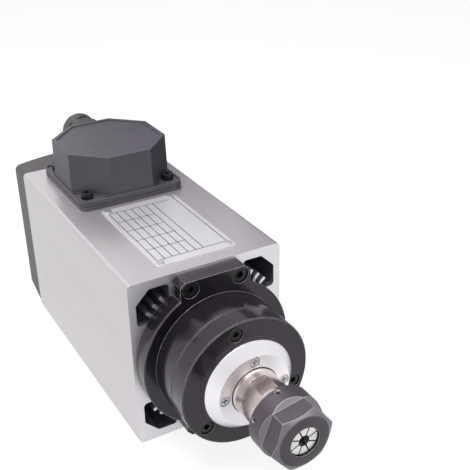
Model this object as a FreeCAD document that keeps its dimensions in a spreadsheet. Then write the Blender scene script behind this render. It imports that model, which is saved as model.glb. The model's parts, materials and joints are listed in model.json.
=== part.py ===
import FreeCAD, Part
import math
import os
import sys
from types import SimpleNamespace

import Sketcher
from FreeCAD import Placement, Rotation, Vector

# An air-cooled motor spindle. Every piece is drawn in the machine's own frame: the spindle's axis
# runs along Y, the nose points to -Y, the motor housing's front face is at y = 0, and X is to the
# right seen from the front. At the end each piece is lifted so that the part stands on z = 0 with
# the middle of its length and width at the origin.

# Every driving size in millimetres, angles in degrees. They become the rows of the sheet "Sizes".
SIZES = {
    # Motor housing, a square aluminium extrusion
    "body_width": 90,
    "body_height": 100,
    "body_length": 167.2,
    "body_edge_radius": 2.5,
    "seat_side_wall": 6.5,
    "seat_top_wall": 11.5,
    # Corner air ducts with cooling fins; the starts are shares of the housing's half sizes
    "duct_web": 2.5,
    "duct_side_wall": 4,
    "duct_top_wall": 5,
    "duct_start_x": 0.49,
    "duct_start_z": 0.492,
    "duct_corner_cut": 7.8,
    "duct_corner_radius": 2,
    "duct_toe_radius": 2.4,
    "fin_reach": 6,
    "fin_thickness": 1.8,
    "fin_middle_angle": 47.8,
    "fin_pitch_angle": 6.4,
    # Holes under the housing that fasten the spindle to a machine
    "mount_thread_radius": 2.5,
    "mount_thread_depth": 12,
    "mount_spacing_x": 32,
    "mount_spacing_y": 100,
    "mount_first_y": 34,
    # Front flange and barrel
    "barrel_wall": 9.25,
    "barrel_length": 18,
    "flange_rim": 6.75,
    "flange_thickness": 10,
    "spigot_depth": 7,
    "lug_width": 41,
    "lug_step": 1.5,
    "lug_corner_cut": 3,
    "flange_screw_inset_x": 6,
    "flange_screw_inset_z": 6.5,
    "edge_break": 0.5,
    # Front cap and its three screws
    "cap_length": 11.5,
    "cap_web": 8.5,
    "cap_spigot": 1.5,
    "cap_screw_inset": 6.15,
    "cap_screw_turn": 100,
    "cap_screw_length": 22,
    # Bearing cover
    "cover_screw_offset": 4.05,
    "cover_flat_margin": 3.3,
    "cover_cone_width": 5.1,
    "cover_rim_margin": 1.1,
    "cover_stand": 8.3,
    "cover_rim_stand": 2.5,
    "cover_seat_depth": 2,
    "cover_screw_length": 14,
    # Spindle shaft
    "nose_thread_radius": 12.5,
    "neck_step": 0.25,
    "collar_step": 0.3,
    "collar_length": 1.6,
    "shaft_reach": 22.6,
    "flat_depth": 0.95,
    "flat_length": 11.2,
    "flat_start": 5.8,
    "shaft_shoulder": 2.5,
    "rotor_seat_step": 0.5,
    "fan_seat_radius": 8,
    "tool_well_radius": 5.5,
    "tool_well_depth": 22,
    # Collet nut
    "nut_wall": 4.85,
    "nut_length": 22,
    "nut_flat_depth": 2.35,
    "nut_flat_setback": 6,
    "nut_cutter_radius": 9.3,
    "nut_face_bevel": 4.4,
    "nut_face_cone": 2.5,
    "nut_mouth_play": 0.3,
    "nut_tip_gap": 0.3,
    "nut_turn": 9.5,
    "nut_hole_radius": 0.9,
    "nut_hole_sink": 0.6,
    "nut_hole_depth": 2.6,
    "nut_hole_setback": 2.9,
    # Collet
    "collet_recess": 1,
    "collet_face_radius": 7.55,
    "collet_rim_radius": 10.45,
    "collet_rim_width": 0.6,
    "collet_groove_depth": 1.55,
    "collet_groove_width": 1.6,
    "collet_taper_step": 0.35,
    "collet_length": 30.6,
    "taper_half_angle": 8,
    "clamp_cone_angle": 30,
    "tool_radius": 3,
    "slot_width": 0.7,
    "front_slot_uncut": 5,
    "rear_slot_uncut": 11,
    "collet_turn": 22.5,
    # Front bearing pair and what clamps it; a ball's size is a share of the space between the rings
    "front_bore_radius": 15,
    "front_race_radius": 27.5,
    "front_bearing_width": 13,
    "front_ball_share": 0.2856,
    "spacer_width": 3,
    "bearing_lip": 4,
    "locknut_width": 8,
    "locknut_play": 2.5,
    "locknut_slot_width": 5,
    # Rear bearing, end plate and preload spring
    "rear_bore_radius": 10,
    "rear_race_radius": 21,
    "rear_bearing_width": 12,
    "rear_ball_share": 0.289,
    "rear_bearing_setback": 10,
    "spring_space": 1,
    "spring_thickness": 0.4,
    "rear_hub_wall": 5,
    "rear_hub_length": 12,
    "rear_lip": 3,
    "endplate_thickness": 6,
    "endplate_edge": 3.5,
    "rear_lug_step": 3.7,
    "rear_screw_inset": 8.5,
    # Stator and rotor
    "stator_start": 50,
    "stator_rear_space": 52.2,
    "stator_bore_share": 0.584,
    "stator_yoke": 6,
    "tooth_tip": 1.5,
    "stator_slot_width": 4.4,
    "slot_mouth_width": 2,
    "winding_overhang": 17,
    "winding_wall": 3,
    "air_gap": 0.5,
    "end_ring_width": 5,
    # Cooling fan
    "fan_side_gap": 8.5,
    "fan_top_gap": 11,
    "fan_hub_wall": 5,
    "fan_start": 9,
    "fan_width": 10,
    "fan_plate": 1.5,
    "fan_blade_thickness": 1.6,
    "fan_blade_curve": 40,
    "clip_width": 1.2,
    # Fan cowl
    "cowl_depth": 26,
    "cowl_wall": 2.5,
    "cowl_step": 0.3,
    "cowl_side_taper": 2,
    "cowl_top_taper": 3.5,
    "cowl_rear_rise": 3,
    "cowl_front_rise": 0.1,
    "cowl_corner_radius": 4,
    "cowl_screw_inset_x": 6.6,
    "cowl_screw_inset_z": 7,
    "cowl_boss_radius": 3.15,
    "cowl_screw_hold": 8,
    "grille_hub_radius": 9,
    "grille_margin": 1.4,
    "grille_bar": 2.6,
    "grille_spoke_angle": 12,
    # Terminal box; a corner cut and the places of block and wire hole are shares of its sizes
    "box_width": 66,
    "box_length": 69,
    "box_rear_space": 41.7,
    "box_corner_radius": 5,
    "box_base_height": 2.6,
    "gasket_height": 0.6,
    "box_rim_height": 2.4,
    "box_rim_width": 1,
    "box_pocket_depth": 0.9,
    "box_side_shoulder": 1,
    "box_end_shoulder": 1.5,
    "box_corner_share": 0.28,
    "box_cover_height": 23.9,
    "box_draft": 0.5,
    "box_wall": 2.2,
    "box_top_recess": 0.8,
    "box_top_rim": 2.4,
    "box_screw_gap": 0.45,
    "box_screw_shift": 0.85,
    "box_screw_length": 9.6,
    "window_side_space": 16,
    "window_length": 21,
    "wire_hole_radius": 7,
    "wire_hole_share": 0.095,
    "block_side_space": 12,
    "block_share": 0.2,
    "block_length": 14,
    "block_height": 11,
    "well_share": 0.335,
    "well_depth": 5,
    "well_screw_share": 0.28,
    "well_screw_height": 1.8,
    "well_screw_slot": 0.8,
    # Cable gland
    "gland_thread_radius": 8,
    "gland_hex_across": 21.6,
    "gland_hex_width": 5,
    "gland_bore_radius": 5,
    "gland_passage_radius": 5.8,
    "gland_tail": 9,
    "gland_cup_radius": 6.9,
    "gland_boss_margin": 0.65,
    "gland_boss_stand": 1,
    "gland_washer_width": 1.2,
    "gland_nut_radius": 11.2,
    "gland_nut_flat_depth": 0.9,
    "gland_nut_length": 17,
    "gland_nut_grip": 7,
    "gland_nut_mouth": 6.2,
    "gland_nut_wall": 2.5,
    "gland_nut_round": 3.2,
    "gland_locknut_width": 4,
    "gland_locknut_across": 19,
    "gland_seal_length": 9.5,
    # Bare plate and its rivets
    "plate_width": 47.5,
    "plate_front_y": 9.5,
    "plate_box_gap": 4.5,
    "plate_thickness": 0.5,
    "plate_corner_radius": 1.5,
    "rivet_inset": 3.4,
    "rivet_radius": 1.2,
    "rivet_head_radius": 2.1,
    "rivet_head_height": 0.9,
    "rivet_depth": 3,
    # Socket head screws: large for the flanges, middle for the cap and the box, small for the cowl
    "large_thread_radius": 2.5,
    "large_head_radius": 4.25,
    "large_head_height": 5,
    "large_key_across": 4,
    "large_counterbore_radius": 4.65,
    "large_counterbore_depth": 6,
    "large_screw_length": 14,
    "middle_thread_radius": 2,
    "middle_head_radius": 3.5,
    "middle_head_height": 4,
    "middle_key_across": 3,
    "middle_counterbore_radius": 4,
    "middle_counterbore_depth": 4.6,
    "small_thread_radius": 1.25,
    "small_head_radius": 2.25,
    "small_head_height": 2.5,
    "small_key_across": 2,
    "small_counterbore_radius": 2.45,
    "small_counterbore_depth": 2.9,
    # Cross recess screws of the bearing cover
    "cover_thread_radius": 1.5,
    "cover_head_radius": 2.7,
    "cover_head_height": 1.7,
    # Clearances
    "thread_gap": 0.05,
    "hole_gap": 0.25,
    "press_gap": 0.02,
    "seat_gap": 0.1,
    "running_gap": 0.05,
    "shaft_gap": 0.35,
}

COUNTS = SimpleNamespace(
    stator_slots=18,
    front_balls=12,
    rear_balls=8,
    fan_blades=9,
    nut_flats=6,
    collet_slots=8,
    locknut_slots=4,
    grille_sectors=6,
    grille_rings=5,
    block_wells=4,
)

QUADRANTS = [(1, 1), (-1, 1), (-1, -1), (1, -1)]


class Length:
    """A number together with the sheet formula that gives it, so that sums of sizes stay bound."""

    def __init__(self, value, formula):
        self.value = value
        self.formula = formula

    def joined(self, other, sign, value):
        return Length(value, f"({self.formula} {sign} {as_length(other).formula})")

    def __add__(self, other):
        return self.joined(other, "+", self.value + as_length(other).value)

    def __sub__(self, other):
        return self.joined(other, "-", self.value - as_length(other).value)

    def __mul__(self, other):
        return self.joined(other, "*", self.value * as_length(other).value)

    def __truediv__(self, other):
        return self.joined(other, "/", self.value / as_length(other).value)

    def __radd__(self, other):
        return as_length(other) + self

    def __rsub__(self, other):
        return as_length(other) - self

    def __rmul__(self, other):
        return as_length(other) * self

    def __neg__(self):
        return self * -1


def as_length(item):
    return item if isinstance(item, Length) else Length(float(item), f"({item})")


def root(item):
    return Length(math.sqrt(item.value), f"sqrt({item.formula})")


def smaller(first, second):
    return Length(min(first.value, second.value), f"min({first.formula}; {second.formula})")


def sine(angle):
    angle = as_length(angle)
    return Length(math.sin(math.radians(angle.value)), f"sin({angle.formula} * 1 deg)")


def cosine(angle):
    angle = as_length(angle)
    return Length(math.cos(math.radians(angle.value)), f"cos({angle.formula} * 1 deg)")


def tangent(angle):
    return sine(angle) / cosine(angle)


def other_leg(long_side, leg):
    """The second leg of a right triangle."""
    return root(long_side * long_side - leg * leg)


doc = FreeCAD.newDocument("motor_spindle")
sheet = doc.addObject("Spreadsheet::Sheet", "Sizes")
for row, (size_name, size_value) in enumerate(SIZES.items(), start=1):
    sheet.set(f"A{row}", size_name)
    sheet.set(f"B{row}", str(size_value))
    sheet.setAlias(f"B{row}", size_name)
S = SimpleNamespace(**{name: Length(float(value), f"Sizes.{name}") for name, value in SIZES.items()})

# The housing's section: the stator seat is as wide as its thinner wall allows
half_width = S.body_width / 2
body_top = S.body_height / 2
seat_radius = smaller(half_width - S.seat_side_wall, body_top - S.seat_top_wall)
duct_radius = seat_radius + S.duct_web

# Radii about the spindle's axis
barrel_radius = S.front_race_radius + S.barrel_wall
flange_radius = barrel_radius + S.flange_rim
cap_screw_circle = barrel_radius - S.cap_screw_inset
lip_hole_radius = S.front_race_radius - S.bearing_lip
locknut_radius = lip_hole_radius - S.locknut_play
neck_radius = S.nose_thread_radius + S.neck_step
collar_radius = neck_radius + S.collar_step
shoulder_radius = S.front_bore_radius + S.shaft_shoulder
rotor_seat_radius = S.front_bore_radius - S.rotor_seat_step
cover_screw_circle = collar_radius + S.cover_screw_offset
cover_flat_radius = cover_screw_circle + S.cover_flat_margin
cover_rim_limit = cap_screw_circle - S.middle_counterbore_radius - S.cover_rim_margin
cover_rim_radius = smaller(cover_flat_radius + S.cover_cone_width, cover_rim_limit)
nut_radius = S.nose_thread_radius + S.nut_wall
nut_flat_distance = nut_radius - S.nut_flat_depth
nut_mouth_radius = S.collet_face_radius + S.nut_mouth_play
collet_groove_radius = S.collet_rim_radius - S.collet_groove_depth
taper_radius = S.collet_rim_radius - S.collet_taper_step
rear_lip_radius = S.rear_bore_radius + S.rear_lip
endplate_radius = smaller(half_width, body_top) - S.endplate_edge
fan_radius = smaller(half_width - S.fan_side_gap, body_top - S.fan_top_gap)
fan_hub_radius = S.fan_seat_radius + S.fan_hub_wall
stator_bore_radius = seat_radius * S.stator_bore_share
tooth_radius = stator_bore_radius + S.tooth_tip

# Places along the spindle's axis, from the nose to the cowl
flange_front = -S.flange_thickness
barrel_front = flange_front - S.barrel_length
cap_front = barrel_front - S.cap_length
cover_front = cap_front - S.cover_stand
nut_back = cover_front - S.shaft_reach
nut_front = nut_back - S.nut_length
bearing_front = barrel_front + S.cap_spigot
spacer_front = bearing_front + S.front_bearing_width
second_front = spacer_front + S.spacer_width
pair_rear = second_front + S.front_bearing_width
plate_rear = S.body_length + S.endplate_thickness
rear_bearing_front = S.body_length - S.rear_bearing_setback
rear_bearing_rear = rear_bearing_front + S.rear_bearing_width
spring_rear = rear_bearing_rear + S.spring_space
stator_rear = S.body_length - S.stator_rear_space
stack_length = stator_rear - S.stator_start
fan_front = S.body_length + S.fan_start
fan_rear = fan_front + S.fan_width
shaft_rear = fan_rear + 3 * S.clip_width
cowl_rear = S.body_length + S.cowl_depth

# The collet along the axis, and the shaft's tip behind the nut's rib
collet_front = nut_front + S.collet_recess
collet_rear = collet_front + S.collet_length
cone_rear = collet_front + (S.collet_rim_radius - S.collet_face_radius) / tangent(S.clamp_cone_angle)
groove_front = cone_rear + S.collet_rim_width
taper_front = groove_front + S.collet_groove_width
rib_front = groove_front + S.hole_gap
rib_rear = taper_front - S.hole_gap
shaft_tip = rib_rear + S.nut_tip_gap

# Heights above the spindle's axis
base_top = body_top + S.box_base_height
gasket_top = base_top + S.gasket_height
rim_top = gasket_top + S.box_rim_height
cover_top = rim_top + S.box_cover_height
gland_z = rim_top + S.box_cover_height / 2
lug_top = body_top - S.lug_step
rear_lug_top = body_top - S.rear_lug_step

# Screws of the flange, the rear plate and the cowl
flange_screw_x = S.lug_width / 2 - S.flange_screw_inset_x
flange_screw_z = body_top - S.flange_screw_inset_z
rear_screw_z = body_top - S.rear_screw_inset
cowl_screw_x = half_width - S.cowl_screw_inset_x
cowl_screw_z = body_top - S.cowl_screw_inset_z

# The terminal box along Y, and the plate in front of it
box_middle_y = S.body_length - S.box_rear_space
box_front = box_middle_y - S.box_length / 2
plate_far_y = box_front - S.plate_box_gap
wire_hole_y = box_middle_y + S.box_length * S.wire_hole_share
block_middle_y = box_middle_y - S.box_length * S.block_share
block_width = S.box_width - 2 * S.block_side_space
well_pitch = block_width / COUNTS.block_wells - 1

# The cable gland along Y, from the terminal box outwards
box_foot_half_width = S.box_width / 2 - S.box_side_shoulder
box_foot_half_length = S.box_length / 2 - S.box_end_shoulder
box_corner_cut = smaller(S.box_width, S.box_length) * S.box_corner_share
gland_seat = box_middle_y + box_foot_half_length + S.gland_boss_stand
gland_inner_seat = box_middle_y + box_foot_half_length - S.box_wall - 2 * S.box_draft
gland_hex_front = gland_seat + S.gland_washer_width
gland_hex_rear = gland_hex_front + S.gland_hex_width
gland_tail_end = gland_hex_rear + S.gland_tail
gland_nut_front = gland_hex_rear + S.seat_gap
gland_nut_rear = gland_nut_front + S.gland_nut_length

# Where the machine frame stands in the part's frame
front_y = (-nut_front - cowl_rear) / 2
axis_z = body_top

pieces = []


def bind(item, path, size):
    item.setExpression(path, as_length(size).formula)


def place(item):
    """Lifts a finished piece from the machine frame into the part's frame."""
    item.Placement = Placement(Vector(0, front_y.value, axis_z.value), Rotation())
    bind(item, "Placement.Base.y", front_y)
    bind(item, "Placement.Base.z", axis_z)
    pieces.append(item)


def new_body(label):
    body = doc.addObject("PartDesign::Body", label)
    body.Label = label
    body.AllowCompound = True
    place(body)
    return body


def turn_piece(piece, angle):
    """Turns a placed piece about the spindle's axis, anticlockwise seen from the front."""
    piece.Placement = Placement(piece.Placement.Base, Rotation(Vector(0, -1, 0), angle.value))
    bind(piece, "Placement.Rotation.Angle", angle)


def origin_feature(body, role):
    return next(item for item in body.Origin.OriginFeatures if item.Role == role)


def sketch_on(body, plane, name, offset=0):
    """A sketch on one of the body's own planes, moved along the plane's normal by offset."""
    sketch = body.newObject("Sketcher::SketchObject", name)
    sketch.AttachmentSupport = [(origin_feature(body, plane), "")]
    sketch.MapMode = "FlatFace"
    bind(sketch, "AttachmentOffset.Base.z", offset)
    return sketch


def limit(sketch, constraint, size):
    """Adds a dimension to a sketch and binds it to the size's formula."""
    index = sketch.addConstraint(constraint)
    bind(sketch, f"Constraints[{index}]", size)


def pin(sketch, geometry, point, x, y):
    """Holds one point of the sketch at x, y; a plain 0 puts it on the axis itself."""
    for axis, kind, distance in ((-2, "DistanceX", x), (-1, "DistanceY", y)):
        if isinstance(distance, Length):
            limit(sketch, Sketcher.Constraint(kind, -1, 1, geometry, point, distance.value), distance)
        else:
            sketch.addConstraint(Sketcher.Constraint("PointOnObject", geometry, point, axis))


def number(item):
    return as_length(item).value


def circle(x, y, radius):
    def draw(sketch):
        centre = Vector(number(x), number(y), 0)
        index = sketch.addGeometry(Part.Circle(centre, Vector(0, 0, 1), radius.value))
        pin(sketch, index, 3, x, y)
        limit(sketch, Sketcher.Constraint("Radius", index, radius.value), radius)

    return draw


def arc_middle(start, end, radius):
    """The middle point of the short arc; a positive radius keeps the centre left of the path."""
    chord = end - start
    left = Vector(-chord.y, chord.x, 0).normalize()
    depth = abs(radius) - math.sqrt(radius * radius - chord.Length**2 / 4)
    return (start + end) / 2 - left * math.copysign(depth, radius)


def outline(corners):
    """A closed outline. Each corner is (x, y), or (x, y, radius) if an arc leads to the next."""

    def draw(sketch):
        points = [Vector(number(corner[0]), number(corner[1]), 0) for corner in corners]
        edges = []
        for here, corner in enumerate(corners):
            start, end = points[here], points[(here + 1) % len(points)]
            if len(corner) == 2:
                edges.append((sketch.addGeometry(Part.LineSegment(start, end)), 1, 2))
                continue
            middle = arc_middle(start, end, number(corner[2]))
            if number(corner[2]) > 0:
                edges.append((sketch.addGeometry(Part.Arc(start, middle, end)), 1, 2))
            else:
                edges.append((sketch.addGeometry(Part.Arc(end, middle, start)), 2, 1))
        for here, (index, start_point, end_point) in enumerate(edges):
            after, after_start, _ = edges[(here + 1) % len(edges)]
            sketch.addConstraint(Sketcher.Constraint("Coincident", index, end_point, after, after_start))
            pin(sketch, index, start_point, corners[here][0], corners[here][1])
            if len(corners[here]) == 3:
                radius = corners[here][2] if number(corners[here][2]) > 0 else -corners[here][2]
                limit(sketch, Sketcher.Constraint("Radius", index, radius.value), radius)

    return draw


def rectangle(left, right, low, high):
    return outline([(left, low), (right, low), (right, high), (left, high)])


def rounded(side, low, high, radius):
    """A rectangle about x = 0 with round corners."""
    inner = side - radius
    return outline(
        [
            (-inner, low),
            (inner, low, radius),
            (side, low + radius),
            (side, high - radius, radius),
            (inner, high),
            (-inner, high, radius),
            (-side, high - radius),
            (-side, low + radius, radius),
        ]
    )


def octagon(inset):
    """The terminal cover's outline with cut corners, moved inwards by an inset."""
    side, end = box_foot_half_width - inset, box_foot_half_length - inset
    bevel = box_corner_cut - inset * (2 - math.sqrt(2))
    front, flank = side - bevel, end - bevel
    steps = [(-front, -end), (front, -end), (side, -flank), (side, flank)]
    steps += [(front, end), (-front, end), (-side, flank), (-side, -flank)]
    return outline([(x, box_middle_y + y) for x, y in steps])


def cross(x, y, reach, half):
    """The cross recess of a screw head."""
    steps = [(half, half), (half, reach), (-half, reach), (-half, half), (-reach, half), (-reach, -half)]
    steps += [(-half, -half), (-half, -reach), (half, -reach), (half, -half), (reach, -half), (reach, half)]
    return outline([(x + dx, y + dy) for dx, dy in steps])


def hexagon(x, y, across):
    """A hexagon with two flats above and below."""
    radius = across / 2 / cosine(30)
    return outline([(x + radius * cosine(60 * k), y + radius * sine(60 * k)) for k in range(6)])


def sketched(body, plane, name, offset, shapes):
    sketch = sketch_on(body, plane, name, offset)
    for shape in shapes:
        shape(sketch)
    return sketch


def pad(body, name, plane, offset, shapes, depth, reverse=False):
    """Grows a solid along the plane's normal: -Y for XZ, +Z for XY and +X for YZ."""
    sketch = sketched(body, plane, f"{name}_sketch", offset, shapes)
    feature = body.newObject("PartDesign::Pad", name)
    feature.Profile = sketch
    feature.Reversed = reverse
    bind(feature, "Length", depth)
    return feature


def cut(body, name, plane, offset, shapes, depth, reverse=False):
    """Cuts against the plane's normal: towards +Y for XZ, -Z for XY and -X for YZ."""
    sketch = sketched(body, plane, f"{name}_sketch", offset, shapes)
    feature = body.newObject("PartDesign::Pocket", name)
    feature.Profile = sketch
    feature.Reversed = reverse
    bind(feature, "Length", depth)
    return feature


def revolve(body, name, corners):
    """Turns an outline of (radius, y) corners about the spindle's axis."""
    sketch = sketched(body, "XY_Plane", f"{name}_sketch", 0, [outline(corners)])
    feature = body.newObject("PartDesign::Revolution", name)
    feature.Profile = sketch
    feature.ReferenceAxis = (sketch, ["V_Axis"])
    feature.Angle = 360
    return feature


def around(body, name, features, count):
    """Repeats features evenly about the spindle's axis."""
    pattern = body.newObject("PartDesign::PolarPattern", name)
    pattern.Originals = features
    pattern.Axis = (origin_feature(body, "Y_Axis"), [""])
    pattern.Angle = 360
    pattern.Occurrences = count
    body.Tip = pattern
    return pattern


def primitive(body, kind, name, y, z, sizes):
    """A ready-made solid of PartDesign above the spindle's axis, at y and the height z."""
    feature = body.newObject(f"PartDesign::{kind}", name)
    feature.AttachmentSupport = [(origin_feature(body, "XY_Plane"), "")]
    feature.MapMode = "FlatFace"
    bind(feature, "AttachmentOffset.Base.y", y)
    bind(feature, "AttachmentOffset.Base.z", z)
    for path, size in sizes.items():
        bind(feature, path, size)
    return feature


def loft(kind, body, name, first, second):
    feature = body.newObject(f"PartDesign::{kind}", name)
    feature.Profile = first
    feature.Sections = [second]
    feature.Ruled = True
    return feature


def turned(label, corners):
    body = new_body(label)
    revolve(body, "turned", corners)
    return body


def ring(label, inner, outer, front, rear):
    return turned(label, [(inner, front), (outer, front), (outer, rear), (inner, rear)])


def all_quadrants(x, z):
    return [(x * sx, z * sz) for sx, sz in QUADRANTS]


def mirrored_x(x, places):
    return [(x * side, y) for side in (1, -1) for y in places]


def circles(centres, radius):
    return [circle(x, y, radius) for x, y in centres]


def on_circle(radius, count, turn=0):
    angles = [turn + 360 * k / count for k in range(count)]
    return [(radius * cosine(angle), radius * sine(angle)) for angle in angles]


def socket_screws(label, plane, seat, centres, size, length, facing=1):
    """Socket head screws: seat is the plane offset under the heads, facing the side they are on."""
    thread, head = getattr(S, f"{size}_thread_radius"), getattr(S, f"{size}_head_radius")
    height, key = getattr(S, f"{size}_head_height"), getattr(S, f"{size}_key_across")
    body = new_body(label)
    outward = facing > 0
    pad(body, "heads", plane, seat, circles(centres, head), height, reverse=not outward)
    pad(body, "shanks", plane, seat, circles(centres, thread), length, reverse=outward)
    keys = [hexagon(x, y, key) for x, y in centres]
    cut(body, "keys", plane, seat + height * facing, keys, height / 2, reverse=not outward)
    return body


def duct_outline(sx, sz):
    """One corner air duct: an arc round the stator seat and walls that follow the housing."""
    inner_x, outer_x = half_width * S.duct_start_x, half_width - S.duct_side_wall
    inner_z, outer_z = body_top * S.duct_start_z, body_top - S.duct_top_wall
    arc, soft, toe, side = duct_radius, S.duct_corner_radius, S.duct_toe_radius, sx * sz
    before, after = soft * math.tan(math.radians(22.5)), soft * (1 - math.sqrt(0.5))
    cut_x, cut_z = outer_x - S.duct_corner_cut, outer_z - S.duct_corner_cut
    corners = [
        (other_leg(arc, inner_z), inner_z, arc * side),
        (inner_x, other_leg(arc, inner_x)),
        (inner_x, outer_z - soft, soft * -side),
        (inner_x + soft, outer_z),
        (cut_x - before, outer_z, soft * -side),
        (cut_x - before + soft * math.sqrt(0.5), outer_z - after),
        (outer_x - after, cut_z - before + soft * math.sqrt(0.5), soft * -side),
        (outer_x, cut_z - before),
        (outer_x, inner_z + toe, toe * -side),
        (outer_x - toe, inner_z),
    ]
    return outline([(corner[0] * sx, corner[1] * sz) + corner[2:] for corner in corners])


def fin_outline(angle, sx, sz):
    """A radial cooling fin that stands in a duct."""
    half, along_x, along_z = S.fin_thickness / 2, cosine(angle), sine(angle)
    root_radius, tip_radius = duct_radius - 1, duct_radius + S.fin_reach
    ends = [(root_radius, -half), (tip_radius, -half), (tip_radius, half), (root_radius, half)]
    corners = [(r * along_x - aside * along_z, r * along_z + aside * along_x) for r, aside in ends]
    return outline([(x * sx, z * sz) for x, z in corners])


def motor_housing():
    body = new_body("motor_housing")
    section = [rounded(half_width, -body_top, body_top, S.body_edge_radius)]
    section += [circle(0, 0, seat_radius)]
    section += [duct_outline(sx, sz) for sx, sz in QUADRANTS]
    pad(body, "extrusion", "XZ_Plane", 0, section, S.body_length, reverse=True)
    fins = [
        fin_outline(S.fin_middle_angle + S.fin_pitch_angle * step, sx, sz)
        for sx, sz in QUADRANTS
        for step in (-1, 0, 1)
    ]
    pad(body, "fins", "XZ_Plane", 0, fins, S.body_length, reverse=True)
    large_hole = S.large_thread_radius + S.thread_gap
    flange_holes = circles(all_quadrants(flange_screw_x, flange_screw_z), large_hole)
    hole_depth = S.large_screw_length - S.flange_thickness + S.large_counterbore_depth + 2
    cut(body, "flange_threads", "XZ_Plane", 0, flange_holes, hole_depth)
    plate_holes = circles(all_quadrants(flange_screw_x, rear_screw_z), large_hole)
    plate_depth = S.large_screw_length - S.endplate_thickness + 2
    cut(body, "plate_threads", "XZ_Plane", -S.body_length, plate_holes, plate_depth, reverse=True)
    cowl_holes = circles(all_quadrants(cowl_screw_x, cowl_screw_z), S.small_thread_radius + S.thread_gap)
    cut(body, "cowl_threads", "XZ_Plane", -S.body_length, cowl_holes, S.cowl_screw_hold + 1, reverse=True)
    box_holes = circles(box_screw_centres(), S.middle_thread_radius + S.thread_gap)
    cut(body, "box_threads", "XY_Plane", body_top, box_holes, S.duct_top_wall + 1)
    wires = [circle(0, wire_hole_y, S.wire_hole_radius)]
    cut(body, "wire_hole", "XY_Plane", body_top, wires, body_top - seat_radius + 1.5)
    rivets = circles(rivet_centres(), S.rivet_radius + S.thread_gap)
    cut(body, "rivet_holes", "XY_Plane", body_top, rivets, S.rivet_depth + 0.5)
    mounts = circles(mount_centres(), S.mount_thread_radius)
    cut(body, "mount_threads", "XY_Plane", -body_top, mounts, S.mount_thread_depth, reverse=True)


def box_screw_centres():
    """In front of the middle of each cut corner of the cover, a little towards its side."""
    out = (S.middle_head_radius + S.box_screw_gap) * math.sqrt(0.5) - box_corner_cut / 2
    x = box_foot_half_width + out + S.box_screw_shift
    y = box_foot_half_length + out - S.box_screw_shift
    return mirrored_x(x, (box_middle_y - y, box_middle_y + y))


def rivet_centres():
    near, far = S.plate_front_y + S.rivet_inset, plate_far_y - S.rivet_inset
    return mirrored_x(S.plate_width / 2 - S.rivet_inset, (near, far))


def mount_centres():
    return mirrored_x(S.mount_spacing_x / 2, (S.mount_first_y, S.mount_first_y + S.mount_spacing_y))


def lug_outline(top, round_radius, side):
    """A flat-topped lug above (side 1) or below (side -1) a round flange; its foot follows an arc."""
    half, bevel = S.lug_width / 2, S.lug_corner_cut
    foot = other_leg(round_radius, half)
    corners = [
        (half, foot, round_radius * side),
        (-half, foot),
        (-half, top - bevel),
        (-half + bevel, top),
        (half - bevel, top),
        (half, top - bevel),
    ]
    return outline([(corner[0], corner[1] * side) + corner[2:] for corner in corners])


def front_flange():
    """Round flange, barrel and rear spigot turned in one piece, with lugs for the flange screws."""
    bore = S.front_race_radius + S.press_gap
    spigot = seat_radius - S.seat_gap
    body = turned(
        "front_flange",
        [
            (lip_hole_radius, S.spigot_depth),
            (spigot, S.spigot_depth),
            (spigot, 0),
            (flange_radius, 0),
            (flange_radius, flange_front + S.edge_break),
            (flange_radius - S.edge_break, flange_front),
            (barrel_radius, flange_front),
            (barrel_radius, barrel_front + S.edge_break),
            (barrel_radius - S.edge_break, barrel_front),
            (bore, barrel_front),
            (bore, pair_rear),
            (lip_hole_radius, pair_rear),
        ],
    )
    lugs = [lug_outline(lug_top, barrel_radius - 1, side) for side in (1, -1)]
    pad(body, "lugs", "XZ_Plane", 0, lugs, S.flange_thickness)
    centres = all_quadrants(flange_screw_x, flange_screw_z)
    through = circles(centres, S.large_thread_radius + S.hole_gap)
    cut(body, "screw_holes", "XZ_Plane", S.flange_thickness, through, S.flange_thickness)
    sunk = circles(centres, S.large_counterbore_radius)
    cut(body, "counterbores", "XZ_Plane", S.flange_thickness, sunk, S.large_counterbore_depth)
    threads = circles(cap_screw_centres(), S.middle_thread_radius + S.thread_gap)
    depth = S.cap_screw_length - S.cap_length + S.middle_counterbore_depth + 2
    cut(body, "cap_threads", "XZ_Plane", -barrel_front, threads, depth)
    seat = S.flange_thickness - S.large_counterbore_depth
    socket_screws("flange_screws", "XZ_Plane", seat, centres, "large", S.large_screw_length)


def cap_screw_centres():
    return on_circle(cap_screw_circle, 3, S.cap_screw_turn)


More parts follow.
